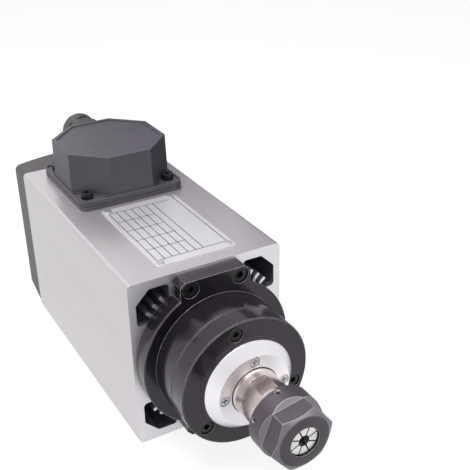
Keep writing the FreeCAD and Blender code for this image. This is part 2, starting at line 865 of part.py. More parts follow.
def front_cap():
    """Clamps the bearing pair; its web closes round the shaft behind the bearing cover."""
    web_rear = cap_front + S.cap_web
    body = turned(
        "front_cap",
        [
            (collar_radius + S.shaft_gap, web_rear),
            (shoulder_radius + 1, web_rear),
            (shoulder_radius + 1, bearing_front),
            (S.front_race_radius - S.seat_gap, bearing_front),
            (S.front_race_radius - S.seat_gap, barrel_front),
            (barrel_radius - S.edge_break, barrel_front),
            (barrel_radius, barrel_front - S.edge_break),
            (barrel_radius, cap_front + S.edge_break),
            (barrel_radius - S.edge_break, cap_front),
            (cover_rim_radius + S.hole_gap, cap_front),
            (cover_rim_radius + S.hole_gap, cap_front + S.cover_seat_depth),
            (collar_radius + S.shaft_gap, cap_front + S.cover_seat_depth),
        ],
    )
    through = circles(cap_screw_centres(), S.middle_thread_radius + S.hole_gap)
    cut(body, "screw_holes", "XZ_Plane", -cap_front, through, S.cap_length)
    sunk = circles(cap_screw_centres(), S.middle_counterbore_radius)
    cut(body, "counterbores", "XZ_Plane", -cap_front, sunk, S.middle_counterbore_depth)
    threads = circles(on_circle(cover_screw_circle, 4), S.cover_thread_radius + S.thread_gap)
    cut(body, "cover_threads", "XZ_Plane", -cap_front, threads, S.cap_length)
    seat = -cap_front - S.middle_counterbore_depth
    socket_screws("cap_screws", "XZ_Plane", seat, cap_screw_centres(), "middle", S.cap_screw_length)


def bearing_cover():
    """The bright cone round the shaft that closes the bearing against chips."""
    seat = cap_front + S.cover_seat_depth
    rim = cap_front - S.cover_rim_stand
    inner = collar_radius + S.shaft_gap
    body = turned(
        "bearing_cover",
        [
            (inner, seat),
            (cover_rim_radius, seat),
            (cover_rim_radius, rim),
            (cover_flat_radius, cover_front),
            (inner, cover_front),
        ],
    )
    centres = on_circle(cover_screw_circle, 4)
    through = circles(centres, S.cover_thread_radius + S.hole_gap)
    cut(body, "screw_holes", "XZ_Plane", -cover_front, through, seat - cover_front)
    sunk = circles(centres, S.cover_head_radius + S.hole_gap)
    cut(body, "counterbores", "XZ_Plane", -cover_front, sunk, S.cover_head_height + S.hole_gap)


def cover_screws():
    """Low round heads with a cross recess, just below the cover's face."""
    body = new_body("cover_screws")
    centres = on_circle(cover_screw_circle, 4)
    seat = -cover_front - S.cover_head_height - S.hole_gap
    pad(body, "heads", "XZ_Plane", seat, circles(centres, S.cover_head_radius), S.cover_head_height)
    shanks = circles(centres, S.cover_thread_radius)
    pad(body, "shanks", "XZ_Plane", seat, shanks, S.cover_screw_length, reverse=True)
    width = S.cover_head_radius / 6
    crosses = [cross(x, y, S.cover_head_radius * 0.65, width) for x, y in centres]
    cut(body, "recesses", "XZ_Plane", seat + S.cover_head_height, crosses, S.cover_head_height * 0.6)


def spindle_shaft():
    """From the nose's tool taper and thread to the fan seat at the rear."""
    mouth = collet_radius_at(shaft_tip) + S.running_gap
    well_front = collet_rear + 1.2
    well_radius = collet_radius_at(well_front) + S.running_gap
    collar_rear = cap_front + S.cap_web + 1
    body = turned(
        "spindle_shaft",
        [
            (mouth, shaft_tip),
            (S.nose_thread_radius - S.edge_break, shaft_tip),
            (S.nose_thread_radius, shaft_tip + S.edge_break),
            (S.nose_thread_radius, nut_back),
            (neck_radius, nut_back + S.edge_break),
            (neck_radius, cover_front - S.collar_length - S.edge_break),
            (neck_radius - S.edge_break, cover_front - S.collar_length),
            (collar_radius, cover_front - S.collar_length + S.edge_break),
            (collar_radius, collar_rear),
            (shoulder_radius, collar_rear),
            (shoulder_radius, bearing_front),
            (S.front_bore_radius, bearing_front),
            (S.front_bore_radius, pair_rear + S.locknut_width + 1),
            (rotor_seat_radius, pair_rear + S.locknut_width + 1),
            (rotor_seat_radius, rear_bearing_front - 4),
            (S.rear_bore_radius + 2, rear_bearing_front - 4),
            (S.rear_bore_radius + 2, rear_bearing_front),
            (S.rear_bore_radius, rear_bearing_front),
            (S.rear_bore_radius, fan_front),
            (S.fan_seat_radius, fan_front),
            (S.fan_seat_radius, fan_rear),
            (S.fan_seat_radius - 1, fan_rear),
            (S.fan_seat_radius - 1, fan_rear + S.clip_width),
            (S.fan_seat_radius, fan_rear + S.clip_width),
            (S.fan_seat_radius, shaft_rear - S.edge_break),
            (S.fan_seat_radius - S.edge_break, shaft_rear),
            (0, shaft_rear),
            (0, well_front + S.tool_well_depth),
            (S.tool_well_radius, well_front + S.tool_well_depth),
            (S.tool_well_radius, well_front),
            (well_radius, well_front),
        ],
    )
    half = neck_radius - S.flat_depth
    start = -cover_front + S.flat_start
    flats = [
        rectangle(-neck_radius, neck_radius, half, neck_radius + 1),
        rectangle(-neck_radius, neck_radius, -neck_radius - 1, -half),
    ]
    cut(body, "flats", "XZ_Plane", start, flats, S.flat_length, reverse=True)
    turn_piece(body, S.nut_turn)


def collet_radius_at(y):
    """The collet's taper radius at a place along the axis."""
    return taper_radius - (y - taper_front) * tangent(S.taper_half_angle)


def collet():
    """A slotted collet: front clamping cone, pulling groove and long rear taper."""
    body = turned(
        "collet",
        [
            (S.tool_radius, collet_front),
            (S.collet_face_radius, collet_front),
            (S.collet_rim_radius, cone_rear),
            (S.collet_rim_radius, groove_front),
            (collet_groove_radius, groove_front),
            (collet_groove_radius, taper_front),
            (taper_radius, taper_front),
            (collet_radius_at(collet_rear), collet_rear),
            (S.tool_radius, collet_rear),
        ],
    )
    half, reach = S.slot_width / 2, S.collet_rim_radius + 1
    slot = [rectangle(-half, half, S.tool_radius / 2, reach)]
    depth = S.collet_length - S.front_slot_uncut
    front = cut(body, "front_slot", "XZ_Plane", -collet_front, slot, depth)
    around(body, "front_slots", [front], COUNTS.collet_slots)
    between = 90 + 180 / COUNTS.collet_slots
    inner = (S.tool_radius / 2 * cosine(between), S.tool_radius / 2 * sine(between))
    outer = (reach * cosine(between), reach * sine(between))
    aside = (half * sine(between), half * cosine(between))
    corners = [(inner[0] - aside[0], inner[1] + aside[1]), (inner[0] + aside[0], inner[1] - aside[1])]
    corners += [(outer[0] + aside[0], outer[1] - aside[1]), (outer[0] - aside[0], outer[1] + aside[1])]
    depth = S.collet_length - S.rear_slot_uncut
    rear = cut(body, "rear_slot", "XZ_Plane", -collet_rear, [outline(corners)], depth, reverse=True)
    around(body, "rear_slots", [rear], COUNTS.collet_slots)
    turn_piece(body, S.collet_turn)


def collet_nut():
    """Hexagon nut that holds the collet by its groove and presses its front cone into the taper."""
    thread = S.nose_thread_radius + S.running_gap
    rib_radius = collet_groove_radius + S.hole_gap
    cone_radius = S.collet_rim_radius + S.hole_gap
    cone_start = nut_front + (cone_radius - nut_mouth_radius) / tangent(S.clamp_cone_angle)
    body = turned(
        "collet_nut",
        [
            (thread, nut_back),
            (nut_radius - S.edge_break, nut_back),
            (nut_radius, nut_back - S.edge_break),
            (nut_radius, nut_front + S.nut_face_cone),
            (nut_radius - S.nut_face_bevel, nut_front),
            (nut_mouth_radius, nut_front),
            (cone_radius, cone_start),
            (cone_radius, rib_front),
            (rib_radius, rib_front),
            (rib_radius, rib_rear),
            (thread, rib_rear),
        ],
    )
    cutter, half = S.nut_cutter_radius, nut_flat_distance * tangent(30) + S.edge_break
    stop = nut_back - S.nut_flat_setback - cutter + other_leg(cutter, half)
    milled = outline([(half, nut_front - 1), (half, stop, cutter), (-half, stop), (-half, nut_front - 1)])
    first = cut(body, "flat", "XY_Plane", nut_radius, [milled], S.nut_flat_depth)
    around(body, "flats", [first], COUNTS.nut_flats)
    hole_y = nut_back - S.nut_hole_setback
    narrow, deep = S.nut_hole_radius, S.nut_hole_sink
    drilled = cut(body, "hole", "XY_Plane", nut_radius, [circle(0, hole_y, narrow)], S.nut_hole_depth)
    cone = {"Radius1": narrow, "Radius2": narrow + deep, "Height": deep}
    sunk = primitive(body, "SubtractiveCone", "sink", hole_y, nut_radius - deep, cone)
    around(body, "holes", [drilled, sunk], COUNTS.nut_flats)
    turn_piece(body, S.nut_turn)


def race_corners(y, radius, rim, inner_side, width, ball, pitch):
    """A bearing ring's section with the groove that the balls run in."""
    groove = ball + S.running_gap
    half = other_leg(groove, rim - pitch if inner_side < 0 else pitch - rim)
    middle = y + width / 2
    bow = groove * -inner_side
    return [
        (radius, y),
        (rim, y),
        (rim, middle - half, bow),
        (rim, middle + half),
        (rim, y + width),
        (radius, y + width),
    ]


def bearing(name, y, bore, outside, width, ball, count):
    """Inner ring, outer ring, and the balls in their cage."""
    pitch = (bore + outside) / 2
    shoulder = ball * 0.72
    inner_rim, outer_rim = pitch - shoulder, pitch + shoulder
    turned(f"{name}_inner_ring", race_corners(y, bore + S.press_gap, inner_rim, 1, width, ball, pitch))
    turned(f"{name}_outer_ring", race_corners(y, outside, outer_rim, -1, width, ball, pitch))
    ball_cage(f"{name}_balls", y + width / 2, ball, pitch, count)


def ball_cage(label, y, ball, pitch, count):
    """A thin ring with a drilled pocket round each ball."""
    half, thin = ball * 1.25, ball * 0.22
    body = ring(label, pitch - thin, pitch + thin, y - half, y + half)
    drilled = [circle(0, y, ball + 3 * S.running_gap)]
    pocket = cut(body, "pocket", "XY_Plane", pitch + ball, drilled, ball * 2)
    around(body, "pockets", [pocket], count)
    first = primitive(body, "AdditiveSphere", "ball", y, pitch, {"Radius": ball})
    around(body, "balls", [first], count)


def front_bearings():
    ball = (S.front_race_radius - S.front_bore_radius) * S.front_ball_share
    front = (S.front_bore_radius, S.front_race_radius, S.front_bearing_width, ball)
    bearing("front_bearing", bearing_front, *front, COUNTS.front_balls)
    bearing("second_bearing", second_front, *front, COUNTS.front_balls)
    bore, outside = S.front_bore_radius + S.press_gap, S.front_race_radius
    ring("inner_spacer", bore, bore + 3, spacer_front, second_front)
    ring("outer_spacer", outside - 3, outside, spacer_front, second_front)


def bearing_locknut():
    rear = pair_rear + S.locknut_width
    body = ring("bearing_locknut", S.front_bore_radius + S.thread_gap, locknut_radius, pair_rear, rear)
    half, deep = S.locknut_slot_width / 2, (locknut_radius - S.front_bore_radius) / 3
    slot = [rectangle(-half, half, locknut_radius - deep, locknut_radius + 1)]
    first = cut(body, "slot", "XZ_Plane", -pair_rear, slot, S.locknut_width)
    around(body, "slots", [first], COUNTS.locknut_slots)


def rear_bearing():
    ball = (S.rear_race_radius - S.rear_bore_radius) * S.rear_ball_share
    rear = (S.rear_bore_radius, S.rear_race_radius, S.rear_bearing_width, ball)
    bearing("rear_bearing", rear_bearing_front, *rear, COUNTS.rear_balls)


def rear_endplate():
    """Carries the rear bearing; its lugs take the screws, as on the front flange."""
    seat = S.rear_race_radius + S.press_gap
    hub = seat + S.rear_hub_wall
    spigot = seat_radius - S.seat_gap
    body = turned(
        "rear_endplate",
        [
            (seat, S.body_length - S.rear_hub_length),
            (hub, S.body_length - S.rear_hub_length),
            (hub, S.body_length - S.spigot_depth),
            (spigot, S.body_length - S.spigot_depth),
            (spigot, S.body_length),
            (endplate_radius, S.body_length),
            (endplate_radius, plate_rear),
            (rear_lip_radius, plate_rear),
            (rear_lip_radius, spring_rear),
            (seat, spring_rear),
        ],
    )
    lugs = [lug_outline(rear_lug_top, hub, side) for side in (1, -1)]
    pad(body, "lugs", "XZ_Plane", -S.body_length, lugs, S.endplate_thickness, reverse=True)
    centres = all_quadrants(flange_screw_x, rear_screw_z)
    through = circles(centres, S.large_thread_radius + S.hole_gap)
    cut(body, "screw_holes", "XZ_Plane", -S.body_length, through, S.endplate_thickness)
    socket_screws("endplate_screws", "XZ_Plane", -plate_rear, centres, "large", S.large_screw_length, -1)


def preload_spring():
    """A disc spring between the rear bearing's outer ring and the end plate."""
    inner, outer = rear_lip_radius + 2, S.rear_race_radius - S.seat_gap
    thick, gap = S.spring_thickness, S.press_gap
    turned(
        "preload_spring",
        [
            (outer, rear_bearing_rear + gap),
            (outer, rear_bearing_rear + gap + thick),
            (inner, spring_rear - gap),
            (inner, spring_rear - gap - thick),
        ],
    )


def stator_slot(clearance):
    """A slot's section, widening outwards; the copper in it is smaller by the clearance."""
    narrow = S.stator_slot_width / 2 - clearance
    depth_radius = seat_radius - S.stator_yoke
    wide = narrow + (depth_radius - tooth_radius) * tangent(180 / COUNTS.stator_slots)
    low, high = tooth_radius + clearance, depth_radius - clearance
    return outline([(-narrow, low), (narrow, low), (wide, high), (-wide, high)])


def stator_core():
    body = ring("stator_core", stator_bore_radius, seat_radius - S.press_gap, S.stator_start, stator_rear)
    first = cut(body, "slot", "XZ_Plane", -S.stator_start, [stator_slot(0)], stack_length)
    half = S.slot_mouth_width / 2
    mouth = [rectangle(-half, half, stator_bore_radius - 1, tooth_radius)]
    gap = cut(body, "mouth", "XZ_Plane", -S.stator_start, mouth, stack_length)
    around(body, "slots", [first, gap], COUNTS.stator_slots)


def stator_windings():
    """Copper bars in the slots, joined by the end turns in front of and behind the core."""
    low, high = tooth_radius, seat_radius - S.winding_wall
    front, rear = S.stator_start - S.winding_overhang, stator_rear + S.winding_overhang
    near, far = S.stator_start - S.seat_gap * 5, stator_rear + S.seat_gap * 5
    soft = S.edge_break * 4
    front_turns = [(low, near), (low, front + soft), (low + soft, front)]
    front_turns += [(high - soft, front), (high, front + soft), (high, near)]
    rear_turns = [(low, far), (low, rear - soft), (low + soft, rear)]
    rear_turns += [(high - soft, rear), (high, rear - soft), (high, far)]
    body = turned("stator_windings", front_turns)
    bar = pad(body, "bar", "XZ_Plane", -near, [stator_slot(S.seat_gap)], far - near, reverse=True)
    around(body, "bars", [bar], COUNTS.stator_slots)
    revolve(body, "rear_turns", rear_turns)


def rotor():
    inner, outer = rotor_seat_radius + S.press_gap, stator_bore_radius - S.air_gap
    ring("rotor_core", inner, outer, S.stator_start, stator_rear)
    front = S.stator_start - S.end_ring_width
    body = ring("rotor_end_rings", inner + 1, outer - 1, front, S.stator_start)
    low, high, rear = inner + 1, outer - 1, stator_rear + S.end_ring_width
    revolve(body, "rear_ring", [(low, stator_rear), (high, stator_rear), (high, rear), (low, rear)])


def cooling_fan():
    """Hub and plate with curved blades that throw air into the corner ducts."""
    bore, plate_front = S.fan_seat_radius + S.press_gap, fan_rear - S.fan_plate
    body = turned(
        "cooling_fan",
        [
            (bore, fan_front),
            (fan_hub_radius, fan_front),
            (fan_hub_radius, plate_front),
            (fan_radius, plate_front),
            (fan_radius, fan_rear),
            (bore, fan_rear),
        ],
    )
    half, curve = S.fan_blade_thickness / 2, S.fan_blade_curve
    blade = outline(
        [
            (-half, fan_hub_radius - 1),
            (half, fan_hub_radius - 1, curve),
            (half, fan_radius - 1),
            (-half, fan_radius - 1, -(curve + S.fan_blade_thickness)),
        ]
    )
    first = pad(body, "blade", "XZ_Plane", -fan_front, [blade], S.fan_width - S.fan_plate, reverse=True)
    around(body, "blades", [first], COUNTS.fan_blades)


def fan_clip():
    """An open spring ring in the shaft's groove, behind the fan."""
    front, rear = fan_rear + S.seat_gap, fan_rear + S.clip_width - S.seat_gap
    body = ring("fan_clip", S.fan_seat_radius - 1 + S.thread_gap, S.fan_seat_radius + 3, front, rear)
    half = S.fan_seat_radius / 2
    gap = [rectangle(-half, half, half, half * 4)]
    cut(body, "opening", "XZ_Plane", -front, gap, S.clip_width)


def cowl_outline(side, half_height, rise, radius):
    """A rounded rectangle whose top and bottom rise gently to the middle."""
    inner = side - radius
    bow = (inner * inner + rise * rise) / (rise * 2)
    low, high = rise - half_height, half_height - rise
    return outline(
        [
            (-inner, low, bow),
            (inner, low, radius),
            (side, low + radius),
            (side, high - radius, radius),
            (inner, high, bow),
            (-inner, high, radius),
            (-side, high - radius),
            (-side, low + radius, radius),
        ]
    )


def cowl_mouth(inset):
    """The cowl's front outline, just inside the housing's, made smaller by inset."""
    side, top = half_width - S.cowl_step - inset, body_top - S.cowl_step - inset
    return cowl_outline(side, top, S.cowl_front_rise, S.cowl_corner_radius - inset / 2)


def cowl_back(inset):
    """The cowl's rear outline, narrower and gently arched above and below."""
    side = half_width - S.cowl_side_taper - inset
    top = body_top - S.cowl_top_taper + S.cowl_rear_rise - inset
    return cowl_outline(side, top, S.cowl_rear_rise, S.cowl_corner_radius - inset / 2)


def grille_sector(inner, width, step):
    """One opening of the grille; the spokes keep about the same width at every radius."""
    outer = inner + width
    half_spoke = S.grille_spoke_angle / (2 + step)
    start = half_spoke + (90 - 180 / COUNTS.grille_sectors)
    end = 90 + 180 / COUNTS.grille_sectors - half_spoke
    return outline(
        [
            (outer * cosine(start), outer * sine(start), outer),
            (outer * cosine(end), outer * sine(end)),
            (inner * cosine(end), inner * sine(end), -inner),
            (inner * cosine(start), inner * sine(start)),
        ]
    )


def fan_cowl():
    """Tapered shell over the fan, with a ring grille in its rear wall and a boss at each screw."""
    body = new_body("fan_cowl")
    levels = {"mouth": (S.body_length, cowl_mouth), "back": (cowl_rear, cowl_back)}
    lofts = (("AdditiveLoft", "shell", as_length(0)), ("SubtractiveLoft", "hollow", S.cowl_wall))
    for kind, name, inset in lofts:
        sections = []
        for end, (y, shape) in levels.items():
            sections.append(sketched(body, "XZ_Plane", f"{name}_{end}", -y, [shape(inset)]))
        loft(kind, body, name, *sections)
    pad(body, "rear_wall", "XZ_Plane", -cowl_rear, [cowl_back(S.cowl_wall / 2)], S.cowl_wall)
    centres = all_quadrants(cowl_screw_x, cowl_screw_z)
    pad(body, "bosses", "XZ_Plane", -cowl_rear, circles(centres, S.cowl_boss_radius), S.cowl_depth)
    through = circles(centres, S.small_thread_radius + S.thread_gap)
    cut(body, "screw_holes", "XZ_Plane", -cowl_rear, through, S.cowl_depth, reverse=True)
    sunk = circles(centres, S.small_counterbore_radius)
    cut(body, "counterbores", "XZ_Plane", -cowl_rear, sunk, S.small_counterbore_depth, reverse=True)
    count = COUNTS.grille_rings
    open_width = fan_radius + S.grille_margin - S.grille_hub_radius - (count - 1) * S.grille_bar
    slot = open_width / count
    step = slot + S.grille_bar
    rings = [grille_sector(S.grille_hub_radius + step * k, slot, k) for k in range(count)]
    slots = cut(body, "grille_slots", "XZ_Plane", -cowl_rear, rings, S.cowl_wall, reverse=True)
    around(body, "grille", [slots], COUNTS.grille_sectors)
    seat = S.small_counterbore_depth - cowl_rear
    length = S.cowl_depth - S.small_counterbore_depth + S.cowl_screw_hold
    socket_screws("cowl_screws", "XZ_Plane", seat, centres, "small", length, -1)


def box_outline():
    half = S.box_length / 2
    return rounded(S.box_width / 2, box_middle_y - half, box_middle_y + half, S.box_corner_radius)


def corner_pocket(sx, sy):
    """The shallow three-sided pocket that a cover screw's head stands in."""
    right, back = S.box_width / 2 - S.box_rim_width, S.box_length / 2 - S.box_rim_width
    radius = S.box_corner_radius - S.box_rim_width
    reach = box_foot_half_width + box_foot_half_length - box_corner_cut + S.edge_break
    turn = 1 if sx * sy > 0 else -1
    corners = [(right, reach - right), (right, back - radius, radius * turn)]
    corners += [(right - radius, back), (reach - back, back)]
    return outline([(corner[0] * sx, box_middle_y + corner[1] * sy) + corner[2:] for corner in corners])


def terminal_cover():
    """Flanged cover: shallow corner pockets for the screws, an octagon dome and a gland boss."""
    body = new_body("terminal_cover")
    pad(body, "rim", "XY_Plane", gasket_top, [box_outline()], S.box_rim_height)
    pockets = [corner_pocket(sx, sy) for sx, sy in QUADRANTS]
    cut(body, "pockets", "XY_Plane", rim_top, pockets, S.box_pocket_depth)
    through = circles(box_screw_centres(), S.middle_thread_radius + S.hole_gap)
    cut(body, "screw_holes", "XY_Plane", rim_top, through, S.box_rim_height)
    foot = sketched(body, "XY_Plane", "foot", rim_top, [octagon(as_length(0))])
    top = sketched(body, "XY_Plane", "top", cover_top, [octagon(S.box_draft)])
    loft("AdditiveLoft", body, "dome", foot, top)
    inner_foot = sketched(body, "XY_Plane", "inner_foot", gasket_top, [octagon(S.box_wall)])
    ceiling = [octagon(S.box_wall + S.box_draft)]
    inner_top = sketched(body, "XY_Plane", "inner_top", cover_top - S.box_wall, ceiling)
    loft("SubtractiveLoft", body, "hollow", inner_foot, inner_top)
    recess = [octagon(S.box_draft + S.box_top_rim)]
    cut(body, "top_recess", "XY_Plane", cover_top, recess, S.box_top_recess)
    boss = [circle(0, gland_z, S.box_cover_height / 2 - S.gland_boss_margin)]
    pad(body, "gland_boss", "XZ_Plane", -gland_seat, boss, gland_seat - gland_inner_seat)
    hole = [circle(0, gland_z, S.gland_thread_radius + S.hole_gap)]
    cut(body, "gland_hole", "XZ_Plane", -gland_seat, hole, gland_seat - gland_inner_seat, reverse=True)


def terminal_box():
    base = new_body("terminal_base")
    pad(base, "plate", "XY_Plane", body_top, [box_outline()], S.box_base_height)
    through = circles(box_screw_centres(), S.middle_thread_radius + S.hole_gap)
    cut(base, "screw_holes", "XY_Plane", base_top, through, S.box_base_height)
    side, half = S.box_width / 2 - S.window_side_space, S.window_length / 2
    window = rounded(side, wire_hole_y - half, wire_hole_y + half, S.box_rim_width)
    cut(base, "wire_window", "XY_Plane", base_top, [window], S.box_base_height)
    gasket = new_body("terminal_gasket")
    pad(gasket, "sheet", "XY_Plane", base_top, [box_outline(), octagon(S.box_wall)], S.gasket_height)
    cut(gasket, "screw_holes", "XY_Plane", gasket_top, through, S.gasket_height)
    terminal_cover()
    seat, centres = rim_top - S.box_pocket_depth, box_screw_centres()
    socket_screws("terminal_cover_screws", "XY_Plane", seat, centres, "middle", S.box_screw_length)


def terminal_block():
    body = new_body("terminal_block")
    half = S.block_length / 2
    block = rounded(block_width / 2, block_middle_y - half, block_middle_y + half, S.box_rim_width)
    pad(body, "block", "XY_Plane", base_top, [block], S.block_height)
    middle = (COUNTS.block_wells - 1) / 2
    wells = [(well_pitch * (k - middle), block_middle_y) for k in range(COUNTS.block_wells)]
    block_top, well_radius = base_top + S.block_height, well_pitch * S.well_share
    cut(body, "wells", "XY_Plane", block_top, circles(wells, well_radius), S.well_depth)
    screws = new_body("terminal_screws")
    floor = block_top - S.well_depth
    heads = circles(wells, well_pitch * S.well_screw_share)
    pad(screws, "heads", "XY_Plane", floor, heads, S.well_screw_height)
    half = S.well_screw_slot / 2
    slots = [rectangle(x - well_radius, x + well_radius, y - half, y + half) for x, y in wells]
    cut(screws, "slots", "XY_Plane", floor + S.well_screw_height, slots, S.well_screw_slot)


def gland_part(label, corners):
    """Turns a gland piece's (radius, y) corners about the gland's own axis."""
    body = new_body(label)
    sketch = sketched(body, "XY_Plane", "turned_sketch", gland_z, [outline(corners)])
    feature = body.newObject("PartDesign::Revolution", "turned")
    feature.Profile = sketch
    feature.ReferenceAxis = (sketch, ["V_Axis"])
    feature.Angle = 360
    return body


def cable_gland():
    """Strain relief on the box: threaded body, seal, clamping nut, washer and locknut."""
    bore, passage, thread = S.gland_bore_radius, S.gland_passage_radius, S.gland_thread_radius
    inner_end = gland_inner_seat - S.gland_locknut_width - 1
    cup = gland_tail_end - S.gland_seal_length + S.gland_nut_wall
    body = gland_part(
        "gland_body",
        [
            (passage, inner_end),
            (thread, inner_end),
            (thread, gland_tail_end),
            (S.gland_cup_radius, gland_tail_end),
            (S.gland_cup_radius, cup),
            (passage, cup),
        ],
    )
    collar = [hexagon(0, gland_z, S.gland_hex_across), circle(0, gland_z, thread - 1)]
    pad(body, "collar", "XZ_Plane", -gland_hex_front, collar, S.gland_hex_width, reverse=True)
    washer = [(thread + S.seat_gap, gland_seat), (S.gland_hex_across / 2, gland_seat)]
    washer += [(S.gland_hex_across / 2, gland_hex_front), (thread + S.seat_gap, gland_hex_front)]
    gland_part("gland_washer", washer)
    ceiling = gland_nut_rear - S.gland_nut_wall
    nut = gland_part(
        "gland_nut",
        [
            (thread + S.thread_gap, gland_nut_front),
            (S.gland_nut_radius, gland_nut_front),
            (S.gland_nut_radius, gland_nut_rear - S.gland_nut_round, S.gland_nut_round),
            (S.gland_nut_radius - S.gland_nut_round, gland_nut_rear),
            (S.gland_nut_mouth, gland_nut_rear),
            (S.gland_nut_mouth, ceiling),
            (thread + S.thread_gap, ceiling),
        ],
    )
    across = (S.gland_nut_radius - S.gland_nut_flat_depth) * 2
    grip = [hexagon(0, gland_z, across), circle(0, gland_z, S.gland_nut_radius + 2)]
    cut(nut, "grip", "XZ_Plane", -gland_nut_front, grip, S.gland_nut_grip)
    seal_outside = S.gland_cup_radius - S.seat_gap
    gland_part("gland_seal", [(bore, cup), (seal_outside, cup), (seal_outside, ceiling), (bore, ceiling)])
    locknut = new_body("gland_locknut")
    shape = [hexagon(0, gland_z, S.gland_locknut_across), circle(0, gland_z, thread + S.thread_gap)]
    pad(locknut, "nut", "XZ_Plane", -gland_inner_seat, shape, S.gland_locknut_width)


def nameplate():
    body = new_body("nameplate")
    seat = body_top + S.plate_thickness
    shape = rounded(S.plate_width / 2, S.plate_front_y, plate_far_y, S.plate_corner_radius)
    pad(body, "plate", "XY_Plane", body_top, [shape], S.plate_thickness)
    holes = circles(rivet_centres(), S.rivet_radius + S.thread_gap)
    cut(body, "rivet_holes", "XY_Plane", seat, holes, S.plate_thickness)
    rivets = new_body("nameplate_rivets")
    heads = circles(rivet_centres(), S.rivet_head_radius)
    pad(rivets, "heads", "XY_Plane", seat, heads, S.rivet_head_height)
    shank = S.rivet_depth + S.plate_thickness
    pad(rivets, "shanks", "XY_Plane", seat, circles(rivet_centres(), S.rivet_radius), shank, reverse=True)


def build():
    motor_housing()
    front_flange()
    front_cap()
    bearing_cover()
    cover_screws()
    spindle_shaft()
    collet()
    collet_nut()
    front_bearings()
    bearing_locknut()
    rear_bearing()
    rear_endplate()
    preload_spring()
    stator_core()
    stator_windings()
    rotor()
    cooling_fan()
    fan_clip()
    fan_cowl()
    terminal_box()
    terminal_block()
    cable_gland()
    nameplate()


def stop_if(faults):
    if faults:
        sys.exit("faulty: " + ", ".join(faults))


def check_and_export():
    doc.recompute()
    stop_if([item.Name for item in doc.Objects if {"Invalid", "Error"} & set(item.State)])
    stop_if([piece.Label for piece in pieces if piece.Shape.isNull() or not piece.Shape.isValid()])
    cuts = [item for item in doc.Objects if item.TypeId == "PartDesign::Pocket"]
    stop_if([item.Name for item in cuts if item.Shape.Volume >= item.BaseFeature.Shape.Volume])
    os.makedirs("parts", exist_ok=True)
    for piece in pieces:
        piece.Shape.exportStep(f"parts/{piece.Label}.step")
        print(f"{piece.Label}: {len(piece.Shape.Solids)} solids, {piece.Shape.Volume / 1000:.2f} cm3")


build()
check_and_export()
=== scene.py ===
# %% [markdown]
# # Dressing a motor spindle
# The solids of this air-cooled spindle come from its construction model: housing, flange, bearing
# cover, shaft, collet nut, terminal box, gland and fan cowl are each a node. This lesson gives
# them the surfaces of the real ones. They could be modelled again by hand, but would then drift
# from the model, so every piece stays exactly where the model has it.

# %% Load the model
import json
import math

import bmesh
import bpy
import numpy as np
from mathutils import Matrix, Vector


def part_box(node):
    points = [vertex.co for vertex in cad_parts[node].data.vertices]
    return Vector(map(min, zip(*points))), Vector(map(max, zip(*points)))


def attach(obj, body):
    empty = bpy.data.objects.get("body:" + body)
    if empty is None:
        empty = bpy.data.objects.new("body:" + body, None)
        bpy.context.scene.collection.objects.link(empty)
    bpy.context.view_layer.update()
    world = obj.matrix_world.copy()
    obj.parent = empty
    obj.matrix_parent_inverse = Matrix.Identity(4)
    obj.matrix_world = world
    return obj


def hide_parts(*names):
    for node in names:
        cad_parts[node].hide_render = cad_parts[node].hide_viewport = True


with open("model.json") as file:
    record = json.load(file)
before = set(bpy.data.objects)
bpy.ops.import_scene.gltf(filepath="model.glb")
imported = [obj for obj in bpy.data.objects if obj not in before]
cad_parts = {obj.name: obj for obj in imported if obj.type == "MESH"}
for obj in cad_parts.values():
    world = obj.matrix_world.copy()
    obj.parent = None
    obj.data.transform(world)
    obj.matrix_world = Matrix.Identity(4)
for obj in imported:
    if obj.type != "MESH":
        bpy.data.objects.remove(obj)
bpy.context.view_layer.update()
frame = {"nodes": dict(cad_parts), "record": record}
body_low, body_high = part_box("motor_housing")
FRONT = body_low.y
AXIS = (body_low.z + body_high.z) / 2
bpy.context.scene.view_settings.view_transform = "Standard"
print("nodes", len(frame["nodes"]), "front face at", round(FRONT, 4), "axis at", round(AXIS, 4))

# %% [markdown]
# ## The viewpoint
# The spindle is seen from its nose, a little from the left and from above. A camera can be placed
# by eye, but this one's place was worked out from the housing's corners and the round flange. It
# is written as a distance from the middle of the housing's front face, with a long lens and a
# slight roll, so it holds if the model is moved.

# %% Camera
LENS, SENSOR = 64.556, 36
CAMERA_RIGHT, CAMERA_AHEAD, CAMERA_ABOVE = -0.174204, 0.338727, 0.263661
LINE_OF_SIGHT = Vector((0.436902, 0.772863, -0.460217))
ROLL = math.radians(-1.13)

camera_data = bpy.data.cameras.new("portrait_camera")
camera = bpy.data.objects.new("portrait_camera", camera_data)
bpy.context.scene.collection.objects.link(camera)
bpy.context.scene.camera = camera
camera_data.sensor_width = SENSOR
camera_data.lens = LENS
camera_data.clip_start = 0.01
camera.location = Vector((CAMERA_RIGHT, FRONT - CAMERA_AHEAD, AXIS + CAMERA_ABOVE))
upright = LINE_OF_SIGHT.to_track_quat("-Z", "Y").to_matrix()
camera.rotation_euler = (upright @ Matrix.Rotation(ROLL, 3, "Z")).to_euler()
print("camera", [round(value, 4) for value in camera.location])

# %% [markdown]
# ## Shader nodes in one line
# The white surroundings, the floor and every finish are made of shader nodes. Each node takes
# several lines when it is made, set and linked by hand. These helpers do all of it in one line
# and name each input, so a finish later reads like a recipe.

# %% Node helpers
def add(tree, kind, inputs=None, **settings):
    """Adds a shader node, sets its options, and links or fills the named inputs."""
    made = tree.nodes.new("ShaderNode" + kind)
    for name, value in settings.items():
        setattr(made, name, value)
    for name, value in (inputs or {}).items():
        if isinstance(value, bpy.types.NodeSocket):
            tree.links.new(value, made.inputs[name])
        else:
            made.inputs[name].default_value = value
    return made


